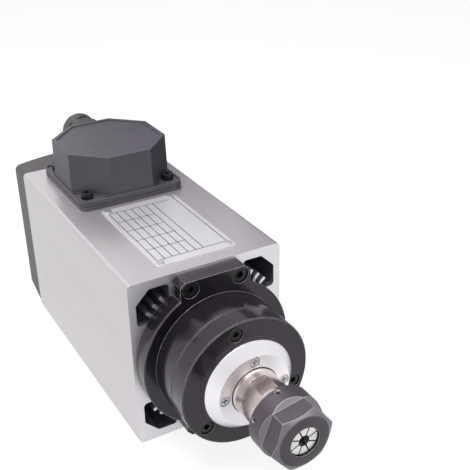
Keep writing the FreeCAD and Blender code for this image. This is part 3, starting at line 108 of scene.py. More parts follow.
def calc(tree, operation, first, second=0.0):
    """The result of one sum on two values, such as MAXIMUM or MULTIPLY."""
    return add(tree, "Math", {0: first, 1: second}, operation=operation).outputs[0]


def ramp(tree, value, start=0.0, end=1.0, low=0.0, high=1.0):
    """Low plus (high - low) times the value's share of the way from start to end, 0 to 1."""
    limits = {"From Min": start, "From Max": end, "To Min": low, "To Max": high}
    return add(tree, "MapRange", {"Value": value, **limits}).outputs["Result"]


def seen_directly(tree):
    """1 for camera, glossy and transmitted rays, else 0: the largest of the three flags."""
    rays = add(tree, "LightPath").outputs
    mirrored = calc(tree, "MAXIMUM", rays["Is Camera Ray"], rays["Is Glossy Ray"])
    return calc(tree, "MAXIMUM", mirrored, rays["Is Transmission Ray"])


print("node helpers ready")

# %% [markdown]
# ## The studio
# Metal shows what stands around it, so a spindle is lit by large soft panels, not by small hard
# lamps. The white surroundings are seen by the camera and by reflections at full strength. They
# light the matt surfaces only gently, because a world that lights them fully leaves no shadows.

# %% Surroundings
GENTLE_LIGHT = 0.17


def surroundings(strength):
    """White for camera, glossy and transmitted rays, and strength times white for all others."""
    world = bpy.data.worlds.new("white_studio")
    bpy.context.scene.world = world
    world.use_nodes = True
    tree = world.node_tree
    background = tree.nodes["Background"]
    background.inputs["Color"].default_value = (1, 1, 1, 1)
    level = ramp(tree, seen_directly(tree), low=strength)
    tree.links.new(level, background.inputs["Strength"])
    return world


print("surroundings", surroundings(GENTLE_LIGHT).name)


# %% Lamps
LAMP_AIM = Vector((0, -0.03, 0.05))


def panel(name, place, width, height, power):
    """A soft panel of width by height in metres that faces the middle of the spindle."""
    light = bpy.data.lights.new(name, "AREA")
    light.shape = "RECTANGLE"
    light.size, light.size_y = width, height
    light.energy = power
    holder = bpy.data.objects.new(name, light)
    bpy.context.scene.collection.objects.link(holder)
    holder.location = place
    holder.rotation_euler = (LAMP_AIM - holder.location).to_track_quat("-Z", "Y").to_euler()
    return holder


lamps = [
    panel("front_panel", (0.30, -0.95, 0.30), 0.5, 0.4, 2.2),
    panel("top_panel", (-0.20, -0.05, 0.95), 0.5, 0.5, 13.0),
    panel("left_panel", (-0.95, -0.15, 0.30), 0.5, 0.5, 1.8),
]
print("lamps", [lamp.name for lamp in lamps])

# %% [markdown]
# ## The floor
# A pale floor carries the spindle and its soft shadow. A plane would do, but a round sheet made as
# a grid in polar coordinates has no corner that could come into view. The grid's last column of
# points joins its first, so the sheet has no seam.

# %% Floor
FLOOR_LEVEL = -0.0003
FLOOR_RINGS = np.array([0.001, 0.2, 0.5, 1.5, 6.0])
FLOOR_SECTORS = 64


def grid_mesh(name, points):
    """One four-sided face per cell of the points[i, j], where the last j joins the first."""
    rows, columns = points.shape[:2]
    i = np.arange(rows - 1)[:, None] * columns
    j = np.arange(columns)[None, :]
    next_j = (j + 1) % columns
    corners = (i + j, i + next_j, i + columns + next_j, i + columns + j)
    faces = np.stack([corner.ravel() for corner in corners], axis=1)
    mesh = bpy.data.meshes.new(name)
    mesh.from_pydata(points.reshape(-1, 3).tolist(), [], faces.tolist())
    mesh.polygons.foreach_set("use_smooth", np.ones(len(mesh.polygons), dtype=bool))
    mesh.update()
    return mesh


def show(name, mesh):
    """Puts a mesh into the scene as an object at the origin."""
    item = bpy.data.objects.new(name, mesh)
    bpy.context.scene.collection.objects.link(item)
    return item


def round_sheet(rings, sectors, level):
    """Points at radius r and angle t: r times the cosine of t, r times its sine, and the level."""
    r, t = np.meshgrid(rings, np.linspace(0, 2 * math.pi, sectors, endpoint=False), indexing="ij")
    return np.stack([r * np.cos(t), r * np.sin(t), np.full(r.shape, level)], axis=-1)


# The sectors are taken backwards, so that the faces look up.
sheet = round_sheet(FLOOR_RINGS, FLOOR_SECTORS, FLOOR_LEVEL)
floor = show("floor", grid_mesh("floor", sheet[:, ::-1]))
print("floor", len(floor.data.polygons), "faces")

# %% [markdown]
# ## Dark cards
# In a white studio polished metal turns flat white. Photographers stand dark boards beside it, and
# their reflections draw its shape. The boards here are seen in reflections only, so they neither
# cast a shadow nor come into the picture.

# %% Dark cards
def dark_card(name, corner, side, height):
    """An upright board: the corner, the corner plus the side, and both again plus the height."""
    foot, along, up = Vector(corner), Vector(side), Vector((0, 0, height))
    mesh = bpy.data.meshes.new(name)
    mesh.from_pydata([foot, foot + along, foot + along + up, foot + up], [], [(0, 1, 2, 3)])
    card = show(name, mesh)
    card.visible_camera = card.visible_diffuse = card.visible_shadow = False
    return card


cards = [
    dark_card("right_card", (0.11, -0.06, 0), (0.02, 0.20, 0), 0.22),
    dark_card("back_card", (0.13, 0.16, 0), (-0.07, 0.17, 0), 0.24),
    dark_card("front_card", (-0.80, -0.90, 0.12), (0.68, -0.30, 0), 0.60),
]
print("cards", [card.name for card in cards])

# %% [markdown]
# ## How a finish is built
# Each finish is one Principled shader. Plain values are set on its sockets, and small procedural
# layers are laid over them: a mottle of slightly different tones, a fine bump, turning marks round
# the spindle's axis. Pictures could do this too, but would need unwrapped meshes. These patterns
# read object coordinates, so they stick to the metal at any scale.

# %% Plain values and places
def new_finish(name, colour, roughness, metallic=0.0, specular=0.5):
    """A material with its plain values on the Principled shader's own sockets."""
    material = bpy.data.materials.new(name)
    material.use_nodes = True
    shader = material.node_tree.nodes["Principled BSDF"]
    shader.inputs["Base Color"].default_value = (*colour, 1)
    shader.inputs["Roughness"].default_value = roughness
    shader.inputs["Metallic"].default_value = metallic
    shader.inputs["Specular IOR Level"].default_value = specular
    return material


def shader_of(material):
    """The material's Principled shader."""
    return material.node_tree.nodes["Principled BSDF"]


def position(material, stretch=(1, 1, 1)):
    """Object coordinates about the spindle's axis, stretched along X, Y and Z."""
    tree = material.node_tree
    place = add(tree, "TexCoord").outputs["Object"]
    shift = (0, 0, -AXIS * stretch[2])
    moved = add(tree, "Mapping", {"Vector": place, "Location": shift, "Scale": stretch})
    return moved.outputs["Vector"]


def axes_of(tree, vector):
    """The X, Y and Z of a vector, each as a value of its own."""
    return add(tree, "SeparateXYZ", {"Vector": vector}).outputs


def off_axis(tree, place):
    """Distance from the spindle's axis: the length of a point's X and Z, without its Y."""
    flat = add(tree, "CombineXYZ", {"X": place["X"], "Z": place["Z"]}).outputs["Vector"]
    return add(tree, "VectorMath", {0: flat}, operation="LENGTH").outputs["Value"]


def end_facing(tree):
    """How far a face looks along the axis: the size of its normal's Y, which is 1 on an end."""
    normal = add(tree, "TexCoord").outputs["Normal"]
    return calc(tree, "ABSOLUTE", axes_of(tree, normal)["Y"])


print("finish helpers ready")

# %% Tone layers
# The sockets of a Mix node in its colour mode go by number: share, two colours, and the result.
MIX_SHARE, MIX_UNDER, MIX_OVER, MIX_RESULT = 0, 6, 7, 2
CLOUD_STARTS, CLOUD_FULL = 0.3, 0.7


def paint(material, mask, colour):
    """Lays a colour over the base colour: (1 - mask) times the old plus mask times the new."""
    tree, base = material.node_tree, shader_of(material).inputs["Base Color"]
    under = base.links[0].from_socket if base.links else tuple(base.default_value)
    layers = {MIX_SHARE: mask, MIX_UNDER: under, MIX_OVER: (*colour, 1)}
    mix = add(tree, "Mix", layers, data_type="RGBA")
    tree.links.new(mix.outputs[MIX_RESULT], base)


def clouds(tree, vector, scale, detail, roughness=0.5):
    """Soft random values about one half, read at the vector times the scale."""
    settings = {"Vector": vector, "Scale": scale, "Detail": detail, "Roughness": roughness}
    return add(tree, "TexNoise", settings).outputs["Fac"]


def mottle(material, colour, scale, share=0.5, stretch=(1, 1, 1)):
    """Clouds of a second tone: its share rises from 0 as the noise goes from start to full."""
    tree = material.node_tree
    noise = clouds(tree, position(material, stretch), scale, 4.0)
    paint(material, ramp(tree, noise, CLOUD_STARTS, CLOUD_FULL, high=share), colour)


def roughness_from(material, value, low, high):
    """Lets the roughness wander between low and high as the value goes from 0 to 1."""
    level = ramp(material.node_tree, value, low=low, high=high)
    material.node_tree.links.new(level, shader_of(material).inputs["Roughness"])


print("tone layers ready")

# %% Bump layers
def raise_bump(material, height, depth, strength):
    """Adds a bump over any bump that is already there. Depth is in metres."""
    tree, normal = material.node_tree, shader_of(material).inputs["Normal"]
    bump = add(tree, "Bump", {"Height": height, "Distance": depth, "Strength": strength})
    if normal.links:
        tree.links.new(normal.links[0].from_socket, bump.inputs["Normal"])
    tree.links.new(bump.outputs["Normal"], normal)


def grain(material, scale, depth, strength, stretch=(1, 1, 1), detail=3.0):
    """A fine random bump, as on blasted, moulded or brushed surfaces."""
    noise = clouds(material.node_tree, position(material, stretch), scale, detail)
    raise_bump(material, noise, depth, strength)
    return noise


def turning_marks(material, pitch, depth, strength):
    """Noise of a point's distance from the axis and its Y, one mark to each pitch of length."""
    tree = material.node_tree
    place = axes_of(tree, position(material))
    along = add(tree, "CombineXYZ", {"X": off_axis(tree, place), "Y": place["Y"]})
    noise = clouds(tree, along.outputs["Vector"], 1 / pitch, 2.0, roughness=0.6)
    raise_bump(material, noise, depth, strength)
    return noise


def round_brushing(material, amount):
    """Stretches highlights across turning marks that run round the spindle's axis."""
    tree, shader = material.node_tree, shader_of(material)
    shader.inputs["Anisotropic"].default_value = amount
    around = add(tree, "Tangent", direction_type="RADIAL", axis="Y")
    tree.links.new(around.outputs["Tangent"], shader.inputs["Tangent"])


print("bump layers ready")

# %% Edge layers
EDGE_STARTS, EDGE_FULL = 0.985, 0.9


def soft_edges(material, width):
    """Rounds the edges in the light only: the lowest bump starts from a rounded normal."""
    tree, normal = material.node_tree, shader_of(material).inputs["Normal"]
    rounded = add(tree, "Bevel", {"Radius": width}, samples=6).outputs["Normal"]
    for bump in [node for node in tree.nodes if node.type == "BUMP"]:
        if not bump.inputs["Normal"].links:
            tree.links.new(rounded, bump.inputs["Normal"])
    if not normal.links:
        tree.links.new(rounded, normal)


def worn_and_highlit_edges(material, colour, width, share):
    """A lighter tone where the rounded and the true normal part: their product falls below 1. It
    is painted both for worn edges and as a painted highlight along them.
    """
    tree = material.node_tree
    rounded = add(tree, "Bevel", {"Radius": width}, samples=4).outputs["Normal"]
    true = add(tree, "NewGeometry").outputs["Normal"]
    agreement = add(tree, "VectorMath", {0: rounded, 1: true}, operation="DOT_PRODUCT")
    wear_and_highlight = ramp(tree, agreement.outputs["Value"], EDGE_STARTS, EDGE_FULL, high=share)
    paint(material, wear_and_highlight, colour)


print("edge layers ready")

# %% [markdown]
# ## A floor that keeps its shadow
# A white sheet that is only lit comes out grey or glaring. Most of this floor's brightness is its
# own white and a small share is lit, so the sheet goes into the white background while the
# spindle's shadow stays on it. The glow is there for the camera and in reflections only, and
# lights nothing.

# %% Floor finish
FLOOR_GLOW, FLOOR_LIT = 0.86, 0.14

floor_finish = new_finish("floor_paper", (FLOOR_LIT, FLOOR_LIT, FLOOR_LIT), 0.9)
tree, lit = floor_finish.node_tree, shader_of(floor_finish).outputs[0]
glow = add(tree, "Emission", {"Color": (1, 1, 1, 1), "Strength": FLOOR_GLOW})
both = add(tree, "AddShader", {0: lit, 1: glow.outputs[0]})
choice = add(tree, "MixShader", {0: seen_directly(tree), 1: lit, 2: both.outputs[0]})
tree.links.new(choice.outputs[0], tree.nodes["Material Output"].inputs["Surface"])
floor.data.materials.append(floor_finish)
card_finish = new_finish("dark_board", (0.13, 0.12, 0.15), 0.8)
for card in cards:
    card.data.materials.append(card_finish)
print("finishes", floor_finish.name, card_finish.name)

# %% [markdown]
# ## Softened edges
# Real edges are never perfectly sharp: each one is broken, and that small round catches light. A
# construction model's mesh is loose triangles, so each visible node is copied, its equal corners
# are merged, its flat areas joined, and a small bevel is put on its edges. The copy stands for
# the node and rides where it did.

# %% Clean copies
SLOTS = {item["node"]: item["material_slot"] for item in frame["record"]["subparts"]}
RIDERS = frame["record"]["behaviour"]["bodies"].items()
BODIES = {node: body for body, nodes in RIDERS for node in nodes}


def merged_mesh(node):
    """The node's triangles with equal corners shared: np.unique finds the corners."""
    source = frame["nodes"][node].data
    corners = np.empty(len(source.vertices) * 3)
    source.vertices.foreach_get("co", corners)
    loops = np.empty(len(source.loops), dtype=np.int64)
    source.loops.foreach_get("vertex_index", loops)
    _, first, same = np.unique(
        np.round(corners.reshape(-1, 3), 6), axis=0, return_index=True, return_inverse=True
    )
    faces = same.ravel()[loops].reshape(-1, 3)
    whole = np.all(faces != np.roll(faces, 1, axis=1), axis=1)
    mesh = bpy.data.meshes.new(node + "_surface")
    mesh.from_pydata(corners.reshape(-1, 3)[first].tolist(), [], faces[whole].tolist())
    return mesh


def join_flats(mesh, angle):
    """Joins triangles that lie in one plane into larger faces."""
    work = bmesh.new()
    work.from_mesh(mesh)
    bmesh.ops.dissolve_limit(work, angle_limit=angle, verts=work.verts[:], edges=work.edges[:])
    work.to_mesh(mesh)
    work.free()


print("slots", sorted(set(SLOTS.values())))


# %% Dressed copies
FLAT_WITHIN = math.radians(0.4)


def dress(node, finish, edge, segments=2, sharp=32, reshape=None):
    """A softened copy of a node in a finish. It replaces the node and rides with its body."""
    mesh = merged_mesh(node)
    if reshape:
        reshape(mesh)
    if edge:
        join_flats(mesh, FLAT_WITHIN)
    mesh.polygons.foreach_set("use_smooth", np.ones(len(mesh.polygons), dtype=bool))
    mesh.set_sharp_from_angle(angle=math.radians(sharp))
    piece = show(node + "_dressed", mesh)
    if edge:
        bevel = piece.modifiers.new("broken_edges", "BEVEL")
        bevel.width, bevel.segments = edge, segments
        bevel.limit_method, bevel.angle_limit = "ANGLE", math.radians(sharp)
        bevel.harden_normals = True
    weigh = piece.modifiers.new("even_shading", "WEIGHTED_NORMAL")
    weigh.keep_sharp = True
    mesh.materials.append(finish)
    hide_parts(node)
    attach(piece, BODIES[node])
    return piece


def coat(finish, *nodes):
    """Gives nodes that stay as they are a finish in their own material slots."""
    for node in nodes:
        for slot in frame["nodes"][node].material_slots:
            slot.material = finish


print("ready to dress", len(SLOTS), "nodes")

# %% [markdown]
# ## The extruded housing
# The housing is an aluminium extrusion. Its outer faces are blasted and clear anodised, which
# gives a soft even grey with a very fine grain and faint lines along the extrusion. The lines are
# the same noise as the grain, stretched along the spindle.

# %% Housing
housing_finish = new_finish("blasted_aluminium", (0.56, 0.535, 0.56), 0.36, 0.85)
mottle(housing_finish, (0.50, 0.475, 0.50), 60, 0.5, stretch=(1, 0.12, 1))
housing_cloud = grain(housing_finish, 2600, 0.00003, 0.35)
grain(housing_finish, 900, 0.00002, 0.25, stretch=(1, 0.02, 1))
roughness_from(housing_finish, housing_cloud, 0.30, 0.42)
housing = dress("motor_housing", housing_finish, 0.0003)
print("housing", len(housing.data.polygons), "faces")

# %% [markdown]
# ## Painted highlight on the ends, painted shade in the ducts
# The extrusion's ends are painted lighter, a painted highlight, and the walls of its air ducts are
# painted darker, painted shade. Both could be materials of their own on picked faces. A mask from
# the normal and one from the place keep it to one material: an end looks along the axis, and a
# duct lies inside the housing's outer walls.

# %% Ends and duct walls
DUCT_HALF_X, DUCT_HALF_Z = 0.0412, 0.0452
END_STARTS, END_FULL = 0.9, 0.98


def inside_box(material, half_x, half_z):
    """1 where the size of X is below its limit and so is the size of Z, else 0."""
    tree = material.node_tree
    place = axes_of(tree, position(material))
    size_x, size_z = (calc(tree, "ABSOLUTE", place[name]) for name in "XZ")
    within_x = calc(tree, "LESS_THAN", size_x, half_x)
    return calc(tree, "MULTIPLY", within_x, calc(tree, "LESS_THAN", size_z, half_z))


tree = housing_finish.node_tree
# The ends are painted lighter: a painted highlight for the light that falls on them.
end_highlight_mask = ramp(tree, end_facing(tree), END_STARTS, END_FULL)
paint(housing_finish, end_highlight_mask, (0.70, 0.68, 0.71))
# The duct walls are painted darker: painted shade, where little light gets in.
inner = inside_box(housing_finish, DUCT_HALF_X, DUCT_HALF_Z)
duct_shade_mask = calc(tree, "MULTIPLY", inner, calc(tree, "SUBTRACT", 1.0, end_highlight_mask))
paint(housing_finish, duct_shade_mask, (0.48, 0.46, 0.54))
print("housing layers", len(tree.nodes), "nodes")

# %% [markdown]
# ## Black anodised flange and cap
# The round parts at the nose are turned from aluminium and black anodised. The dye is deep black
# with a slight violet sheen, the lathe's feed marks stay as fine rings, and a thin lighter line is
# painted on the edges, a painted highlight where they catch the light. The sheen is the shader's
# specular tint, not its colour, so the black stays black where nothing shines on it.

# %% Flange and front cap
anodised = new_finish("black_anodised", (0.010, 0.008, 0.012), 0.2)
shader_of(anodised).inputs["Specular Tint"].default_value = (0.98, 0.88, 1.0, 1)
mottle(anodised, (0.016, 0.013, 0.018), 45, 0.6)
feed = turning_marks(anodised, 0.00022, 0.00001, 0.12)
roughness_from(anodised, feed, 0.13, 0.22)
round_brushing(anodised, 0.4)
# The light line on the edges is a painted highlight.
worn_and_highlit_edges(anodised, (0.60, 0.58, 0.62), 0.0004, 0.8)
flange = dress("front_flange", anodised, 0.0004)
cap = dress("front_cap", anodised, 0.0003)
print("flange", len(flange.data.polygons), "cap", len(cap.data.polygons))

# %% [markdown]
# ## The bright bearing cover
# The cover is bare aluminium, turned on its cone and its flat face. Turning marks stretch each
# highlight into a fan, which is why a turned face looks like a record. A bump alone can't do that
# at this size, so the shader's own anisotropy stretches the light.

# %% Bearing cover
turned_aluminium = new_finish("turned_aluminium", (0.78, 0.76, 0.79), 0.30, 1.0)
mottle(turned_aluminium, (0.66, 0.64, 0.67), 80, 0.4)
feed = turning_marks(turned_aluminium, 0.0003, 0.00003, 0.5)
roughness_from(turned_aluminium, feed, 0.26, 0.40)
round_brushing(turned_aluminium, 0.7)
soft_edges(turned_aluminium, 0.0003)
cover = dress("bearing_cover", turned_aluminium, 0)
print("bearing cover", len(cover.data.polygons))

# %% [markdown]
# ## Shaft and collet
# The shaft is ground steel, slightly warm. Its two wrench flats are milled and look darker. They
# lie closer to the axis than the round neck, so a mask of the distance from the axis finds them,
# and a second mask keeps the tone to the front of the neck. The collet is ground too.

# %% Shaft
NECK_RADIUS, FLATS_BEHIND = 0.01275, FRONT - 0.0530
FLAT_STARTS, FLAT_FULL = NECK_RADIUS - 0.00003, NECK_RADIUS - 0.00012

ground_steel = new_finish("ground_steel", (0.66, 0.585, 0.575), 0.24, 1.0)
mottle(ground_steel, (0.54, 0.47, 0.455), 70, 0.5, stretch=(1, 4, 1))
feed = turning_marks(ground_steel, 0.00012, 0.00001, 0.4)
roughness_from(ground_steel, feed, 0.18, 0.32)
tree = ground_steel.node_tree
place = axes_of(tree, position(ground_steel))
low_skin = ramp(tree, off_axis(tree, place), FLAT_STARTS, FLAT_FULL)
flat_mask = calc(tree, "MULTIPLY", low_skin, calc(tree, "LESS_THAN", place["Y"], FLATS_BEHIND))
paint(ground_steel, flat_mask, (0.46, 0.375, 0.365))
shaft = dress("spindle_shaft", ground_steel, 0.0002, sharp=14)
print("shaft", len(shaft.data.polygons))

# %% Collet
collet_steel = new_finish("collet_steel", (0.72, 0.71, 0.70), 0.34, 0.9)
feed = turning_marks(collet_steel, 0.0002, 0.00002, 0.5)
mottle(collet_steel, (0.55, 0.54, 0.53), 200, 0.5)
roughness_from(collet_steel, feed, 0.28, 0.42)
collet = dress("collet", collet_steel, 0.0001, 1)
print("collet", len(collet.data.polygons))

# %% [markdown]
# ## The nut's square shoulders
# The nut is a ring with six flats milled on its front. In the model each flat ends in a wall that
# is round in plan. On the real nut it ends at a straight line, from which a plane ramp rises to
# the ring. The skin between two planes is cut out for that, the ring is carried forward, and its
# edge is set back by a slope times its height over the nearest flat. A bridge of faces closes it.

# %% Shoulder helpers
NUT_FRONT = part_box("collet_nut")[0].y
SHOULDER_START, SHOULDER_END = NUT_FRONT + 0.0106, NUT_FRONT + 0.0168
SKIN_RADIUS, RUNOUT_SLOPE, SHORT_EDGE = 0.0138, 0.85, 1e-4
CUT_WITHIN, PLANE_WITHIN = 1e-7, 1e-6


def at_plane(edge, y):
    """True where both ends of an edge lie at y, within a thousandth of a millimetre."""
    return all(abs(vert.co.y - y) < PLANE_WITHIN for vert in edge.verts)


def cut_skin(work):
    """Cuts the mesh at both planes and deletes the outer faces between them."""
    for y in (SHOULDER_START, SHOULDER_END):
        plane = {"plane_co": (0, y, 0), "plane_no": (0, 1, 0)}
        whole = work.verts[:] + work.edges[:] + work.faces[:]
        bmesh.ops.bisect_plane(work, geom=whole, dist=CUT_WITHIN, **plane)
    skin = []
    for face in work.faces:
        middle = face.calc_center_median()
        outer = math.hypot(middle.x, middle.z - AXIS) > SKIN_RADIUS
        if outer and SHOULDER_START < middle.y < SHOULDER_END:
            skin.append(face)
    bmesh.ops.delete(work, geom=skin, context="FACES")


def flats_of(rim):
    """Each flat's outward direction and distance from the axis.

    The direction is that of an edge of the rim, turned by a right angle. The distance is the
    edge's start, measured along it. The line of an edge that runs outwards passes close to the
    axis, so such an edge is left out.
    """
    long_edges = [edge for edge in rim if edge.calc_length() > SHORT_EDGE]
    ends = np.array([[vert.co[:] for vert in edge.verts] for edge in long_edges])
    along = ends[:, 1] - ends[:, 0]
    length = np.linalg.norm(along, axis=1)[:, None]
    across = np.stack([along[:, 2], -along[:, 0]], axis=1) / length
    reach = across[:, 0] * ends[:, 0, 0] + across[:, 1] * (ends[:, 0, 2] - AXIS)
    flats = np.abs(reach) > SKIN_RADIUS
    return (across * np.sign(reach)[:, None])[flats], np.abs(reach)[flats]


print("shoulders from", round(SHOULDER_START, 4), "to", round(SHOULDER_END, 4))


# %% Square shoulders
def square_shoulders(mesh):
    """Ends each flat at a straight line: Y is the start plus the slope times the height."""
    work = bmesh.new()
    work.from_mesh(mesh)
    cut_skin(work)
    rims = [edge for edge in work.edges if edge.is_boundary]
    front_rim = [edge for edge in rims if at_plane(edge, SHOULDER_START)]
    rear_rim = [edge for edge in rims if at_plane(edge, SHOULDER_END)]
    across, reach = flats_of(front_rim)
    made = bmesh.ops.extrude_edge_only(work, edges=rear_rim)["geom"]
    for vert in [item for item in made if isinstance(item, bmesh.types.BMVert)]:
        height = np.max(across @ np.array([vert.co.x, vert.co.z - AXIS]) - reach)
        vert.co.y = SHOULDER_START + RUNOUT_SLOPE * max(height, 0)
    edges = [item for item in made if isinstance(item, bmesh.types.BMEdge)]
    behind = SHOULDER_END - SHORT_EDGE
    ring = [edge for edge in edges if max(vert.co.y for vert in edge.verts) < behind]
    bmesh.ops.bridge_loops(work, edges=front_rim + ring)
    bmesh.ops.recalc_face_normals(work, faces=work.faces[:])
    left_open = sum(edge.is_boundary for edge in work.edges)
    print("rims", len(front_rim), len(ring), "open edges", left_open)
    work.to_mesh(mesh)
    work.free()


# %% [markdown]
# ## The blackened nut
# The nut is blackened steel: a thin oxide, dark grey with a satin sheen, and rubbed bright on its
# edges, where a painted highlight is laid as well. Its sloped faces get a painted reflection, a
# tone lighter than its flats. They could be picked by hand, but their normals tell them apart:
# faces that look partly along the axis get the lighter tone, and faces that look straight along it
# get that tone only behind the nose.

# %% Nut finish
NOSE_LENGTH = 0.0035
SLANT_STARTS, SLANT_FULL, NEARLY_STRAIGHT, STRAIGHT = 0.25, 0.4, 0.92, 0.97

black_oxide = new_finish("black_oxide", (0.062, 0.052, 0.066), 0.42, 0.45)
mottle(black_oxide, (0.085, 0.073, 0.090), 130, 0.6)
grain(black_oxide, 2200, 0.00003, 0.3)
feed = turning_marks(black_oxide, 0.0003, 0.00002, 0.25)
roughness_from(black_oxide, feed, 0.34, 0.46)
tree = black_oxide.node_tree
slant, place = end_facing(tree), axes_of(tree, position(black_oxide))
behind_nose = calc(tree, "GREATER_THAN", place["Y"], NUT_FRONT + NOSE_LENGTH)
either = calc(tree, "MAXIMUM", behind_nose, ramp(tree, slant, STRAIGHT, NEARLY_STRAIGHT))
# The sloped faces are painted lighter: a painted reflection, not a tone of the oxide.
slant_reflection_mask = ramp(tree, slant, SLANT_STARTS, SLANT_FULL)
paint(black_oxide, calc(tree, "MULTIPLY", slant_reflection_mask, either), (0.18, 0.17, 0.19))
# The nut's edges are painted lighter: rubbed bright, and a painted highlight on top.
worn_and_highlit_edges(black_oxide, (0.62, 0.60, 0.63), 0.00035, 0.85)
soft_edges(black_oxide, 0.0003)
print("nut finish", len(tree.nodes), "nodes")

# %% Collet nut
nut = dress("collet_nut", black_oxide, 0, reshape=square_shoulders)
print("nut", len(nut.data.polygons))

# %% [markdown]
# ## Screws
# Socket head screws are cold forged and blackened with oil: darker and glossier than the nut. The
# small screws of the bearing cover are bright zinc. Each set is one node, so a loop dresses them.

# %% Screws
BLACK_SETS = ("flange", "cap", "endplate", "cowl", "terminal_cover")

screw_black = new_finish("oiled_black_screw", (0.012, 0.011, 0.012), 0.34, 0.3)
mottle(screw_black, (0.024, 0.023, 0.025), 500, 0.5)
grain(screw_black, 3000, 0.00002, 0.3)
# The screws' edges are painted lighter: worn, and a painted highlight on top.
worn_and_highlit_edges(screw_black, (0.18, 0.18, 0.19), 0.0002, 0.4)
screw_zinc = new_finish("zinc_screw", (0.60, 0.60, 0.62), 0.36, 0.9)
mottle(screw_zinc, (0.42, 0.43, 0.46), 700, 0.6)
for name in BLACK_SETS:
    dress(name + "_screws", screw_black, 0.0002)
dress("cover_screws", screw_zinc, 0.0001, 1)
print("screw sets", len(BLACK_SETS) + 1)

# %% [markdown]
# ## The terminal box
# Base and cover are die castings under a dark grey powder coat. The coat is slightly lumpy, like
# fine orange peel, and rounds every edge: two grains of different size, and a wider bevel than on
# the turned parts. The gasket between them is black rubber.

# %% Terminal box
box_coat = new_finish("dark_powder_coat", (0.057, 0.051, 0.064), 0.40, 0.0, 0.3)
mottle(box_coat, (0.071, 0.065, 0.078), 90, 0.6)
grain(box_coat, 1800, 0.00008, 0.30, detail=2.0)
grain(box_coat, 300, 0.00006, 0.12)
# The box's edges are painted lighter: worn, and a painted highlight on top.
worn_and_highlit_edges(box_coat, (0.11, 0.11, 0.12), 0.0004, 0.45)
box_cover = dress("terminal_cover", box_coat, 0.0006, 3)
dress("terminal_base", box_coat, 0.0004)
rubber = new_finish("black_rubber", (0.018, 0.018, 0.018), 0.7)
grain(rubber, 1500, 0.00004, 0.4)
mottle(rubber, (0.03, 0.03, 0.03), 200, 0.5)
dress("terminal_gasket", rubber, 0)
print("box cover", len(box_cover.data.polygons))

# %% [markdown]
# ## The cable gland
# The gland is glass-filled nylon: black, hard and slightly glossy, with a milky bloom. The bloom
# is the mottle's lighter tone. Its washer and seal are rubber.

# %% Cable gland
nylon = new_finish("black_nylon", (0.030, 0.030, 0.032), 0.42)
mottle(nylon, (0.046, 0.046, 0.048), 160, 0.5)
grain(nylon, 1400, 0.00004, 0.25)
for node in ("gland_body", "gland_nut", "gland_locknut"):
    dress(node, nylon, 0.0003)
for node in ("gland_washer", "gland_seal"):
    dress(node, rubber, 0)
print("gland finish", nylon.name)

# %% [markdown]
# ## The fan cowl and the fan
# The cowl is moulded from black plastic with a fine spark-eroded texture, which is a deep grain at
# low strength. Behind its grille turns a moulded fan, a little lighter and smoother.

# %% Cowl and fan
cowl_plastic = new_finish("textured_black_plastic", (0.045, 0.039, 0.046), 0.5, 0.0, 0.4)
mottle(cowl_plastic, (0.056, 0.050, 0.058), 70, 0.5)
grain(cowl_plastic, 1600, 0.00008, 0.35)
cowl = dress("fan_cowl", cowl_plastic, 0.0003)
fan_plastic = new_finish("fan_plastic", (0.06, 0.06, 0.065), 0.45)
mottle(fan_plastic, (0.08, 0.08, 0.085), 90, 0.5)
grain(fan_plastic, 900, 0.00004, 0.2)
fan = dress("cooling_fan", fan_plastic, 0.0002)
print("cowl", len(cowl.data.polygons), "fan", len(fan.data.polygons))

# %% [markdown]
# ## The plate
# A thin satin sheet is riveted on top of the housing. It is printed with a ruled table, left
# bare here. The lines could be a pattern in the material, but at this size it would blur. They
# are thin strips of ink, all made in one array operation.

# %% Plate and rivets
plate_finish = new_finish("satin_sheet", (0.66, 0.64, 0.67), 0.34, 0.6)
mottle(plate_finish, (0.58, 0.56, 0.60), 50, 0.5)
grain(plate_finish, 1500, 0.00001, 0.4, stretch=(1, 0.04, 1))
plate = dress("nameplate", plate_finish, 0.0001, 1)
dress("nameplate_rivets", screw_zinc, 0.0001, 1)
print("plate", len(plate.data.polygons))


# %% Ruled table
SIDE_MARGIN, END_MARGIN, ROW_STEP = 0.0028, 0.0062, 0.0046
LINE_WIDTH, INK_HEIGHT = 0.00048, 0.00003
ROW_LINES, RULED_ROWS, COLUMNS = 7, 5, 5


def ruled_lines(lines, height, width):
    """One strip per line (x0, y0, x1, y1): its ends, each moved half a width to either side."""
    ends = np.array(lines, dtype=float).reshape(-1, 2, 2)
    along = ends[:, 1] - ends[:, 0]
    along /= np.linalg.norm(along, axis=1, keepdims=True)
    across = np.stack([along[:, 1], -along[:, 0]], axis=1) * width / 2
    start, end = ends[:, 0], ends[:, 1]
    corners = np.stack([start - across, start + across, end + across, end - across], axis=1)
    points = np.concatenate([corners, np.full(corners.shape[:2] + (1,), height)], axis=2)
    faces = np.arange(points.shape[0] * 4).reshape(-1, 4)
    mesh = bpy.data.meshes.new("ruled_table")
    mesh.from_pydata(points.reshape(-1, 3).tolist(), [], faces.tolist())
    return mesh


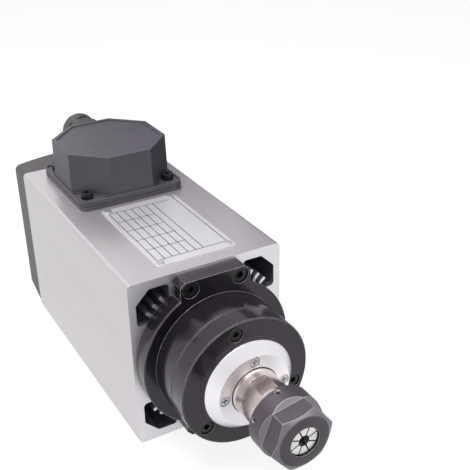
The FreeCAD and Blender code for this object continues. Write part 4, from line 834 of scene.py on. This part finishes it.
plate_low, plate_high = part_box("nameplate")
left, right = plate_low.x + SIDE_MARGIN, plate_high.x - SIDE_MARGIN
near, far = plate_low.y + END_MARGIN, plate_high.y - END_MARGIN
rows = [left + ROW_STEP * k for k in range(ROW_LINES)]
table_lines = [(left, near, left, far), (right, near, right, far)]
table_lines += [(left, near, right, near), (left, far, right, far)]
table_lines += [(x, near, x, far) for x in rows[1:]]
columns = np.linspace(near, far, COLUMNS + 1)[1:-1]
table_lines += [(rows[0], y, rows[RULED_ROWS], y) for y in columns]
print("ruled lines", len(table_lines))

# %% Printing ink
ink = new_finish("printing_ink", (0.03, 0.03, 0.035), 0.5)
mottle(ink, (0.06, 0.06, 0.065), 400, 0.5)
table_mesh = ruled_lines(table_lines, plate_high.z + INK_HEIGHT, LINE_WIDTH)
table_mesh.materials.append(ink)
table_print = show("ruled_table", table_mesh)
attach(table_print, "housing")
print("printed table", len(table_mesh.polygons), "strips")

# %% [markdown]
# ## What is inside
# Behind the covers are the stator with its copper windings, the rotor, the bearings and the rear
# plate. Almost nothing shows them, so no copies are made: they keep the model's shape and get
# their own metals.

# %% Inner metals
bearing_steel = new_finish("bearing_steel", (0.70, 0.70, 0.71), 0.15, 1.0)
mottle(bearing_steel, (0.62, 0.62, 0.63), 200, 0.4)
cast_aluminium = new_finish("cast_aluminium", (0.55, 0.55, 0.56), 0.5, 0.7)
grain(cast_aluminium, 900, 0.00006, 0.4)
lamination = new_finish("stacked_sheet", (0.30, 0.31, 0.34), 0.45, 0.9)
grain(lamination, 60, 0.00004, 0.6, stretch=(0.2, 33, 0.2))
copper = new_finish("lacquered_copper", (0.62, 0.26, 0.12), 0.3, 0.9)
mottle(copper, (0.45, 0.17, 0.08), 240, 0.6)
grain(copper, 700, 0.0002, 0.5)
cream = new_finish("cream_plastic", (0.72, 0.69, 0.60), 0.45)
mottle(cream, (0.66, 0.63, 0.54), 120, 0.5)
brass = new_finish("plain_brass", (0.75, 0.54, 0.22), 0.3, 1.0)
mottle(brass, (0.62, 0.43, 0.16), 260, 0.5)
print("materials", len(bpy.data.materials))

# %% Inner pieces
ring_nodes = [node for node in SLOTS if SLOTS[node] == "bearing_steel"]
coat(bearing_steel, *ring_nodes)
coat(cast_aluminium, "rear_endplate", "rotor_end_rings")
coat(lamination, "stator_core", "rotor_core")
coat(copper, "stator_windings")
coat(cream, "terminal_block")
coat(brass, "terminal_screws")
coat(screw_black, "bearing_locknut", "preload_spring", "fan_clip")
print("bearing pieces coated", len(ring_nodes))
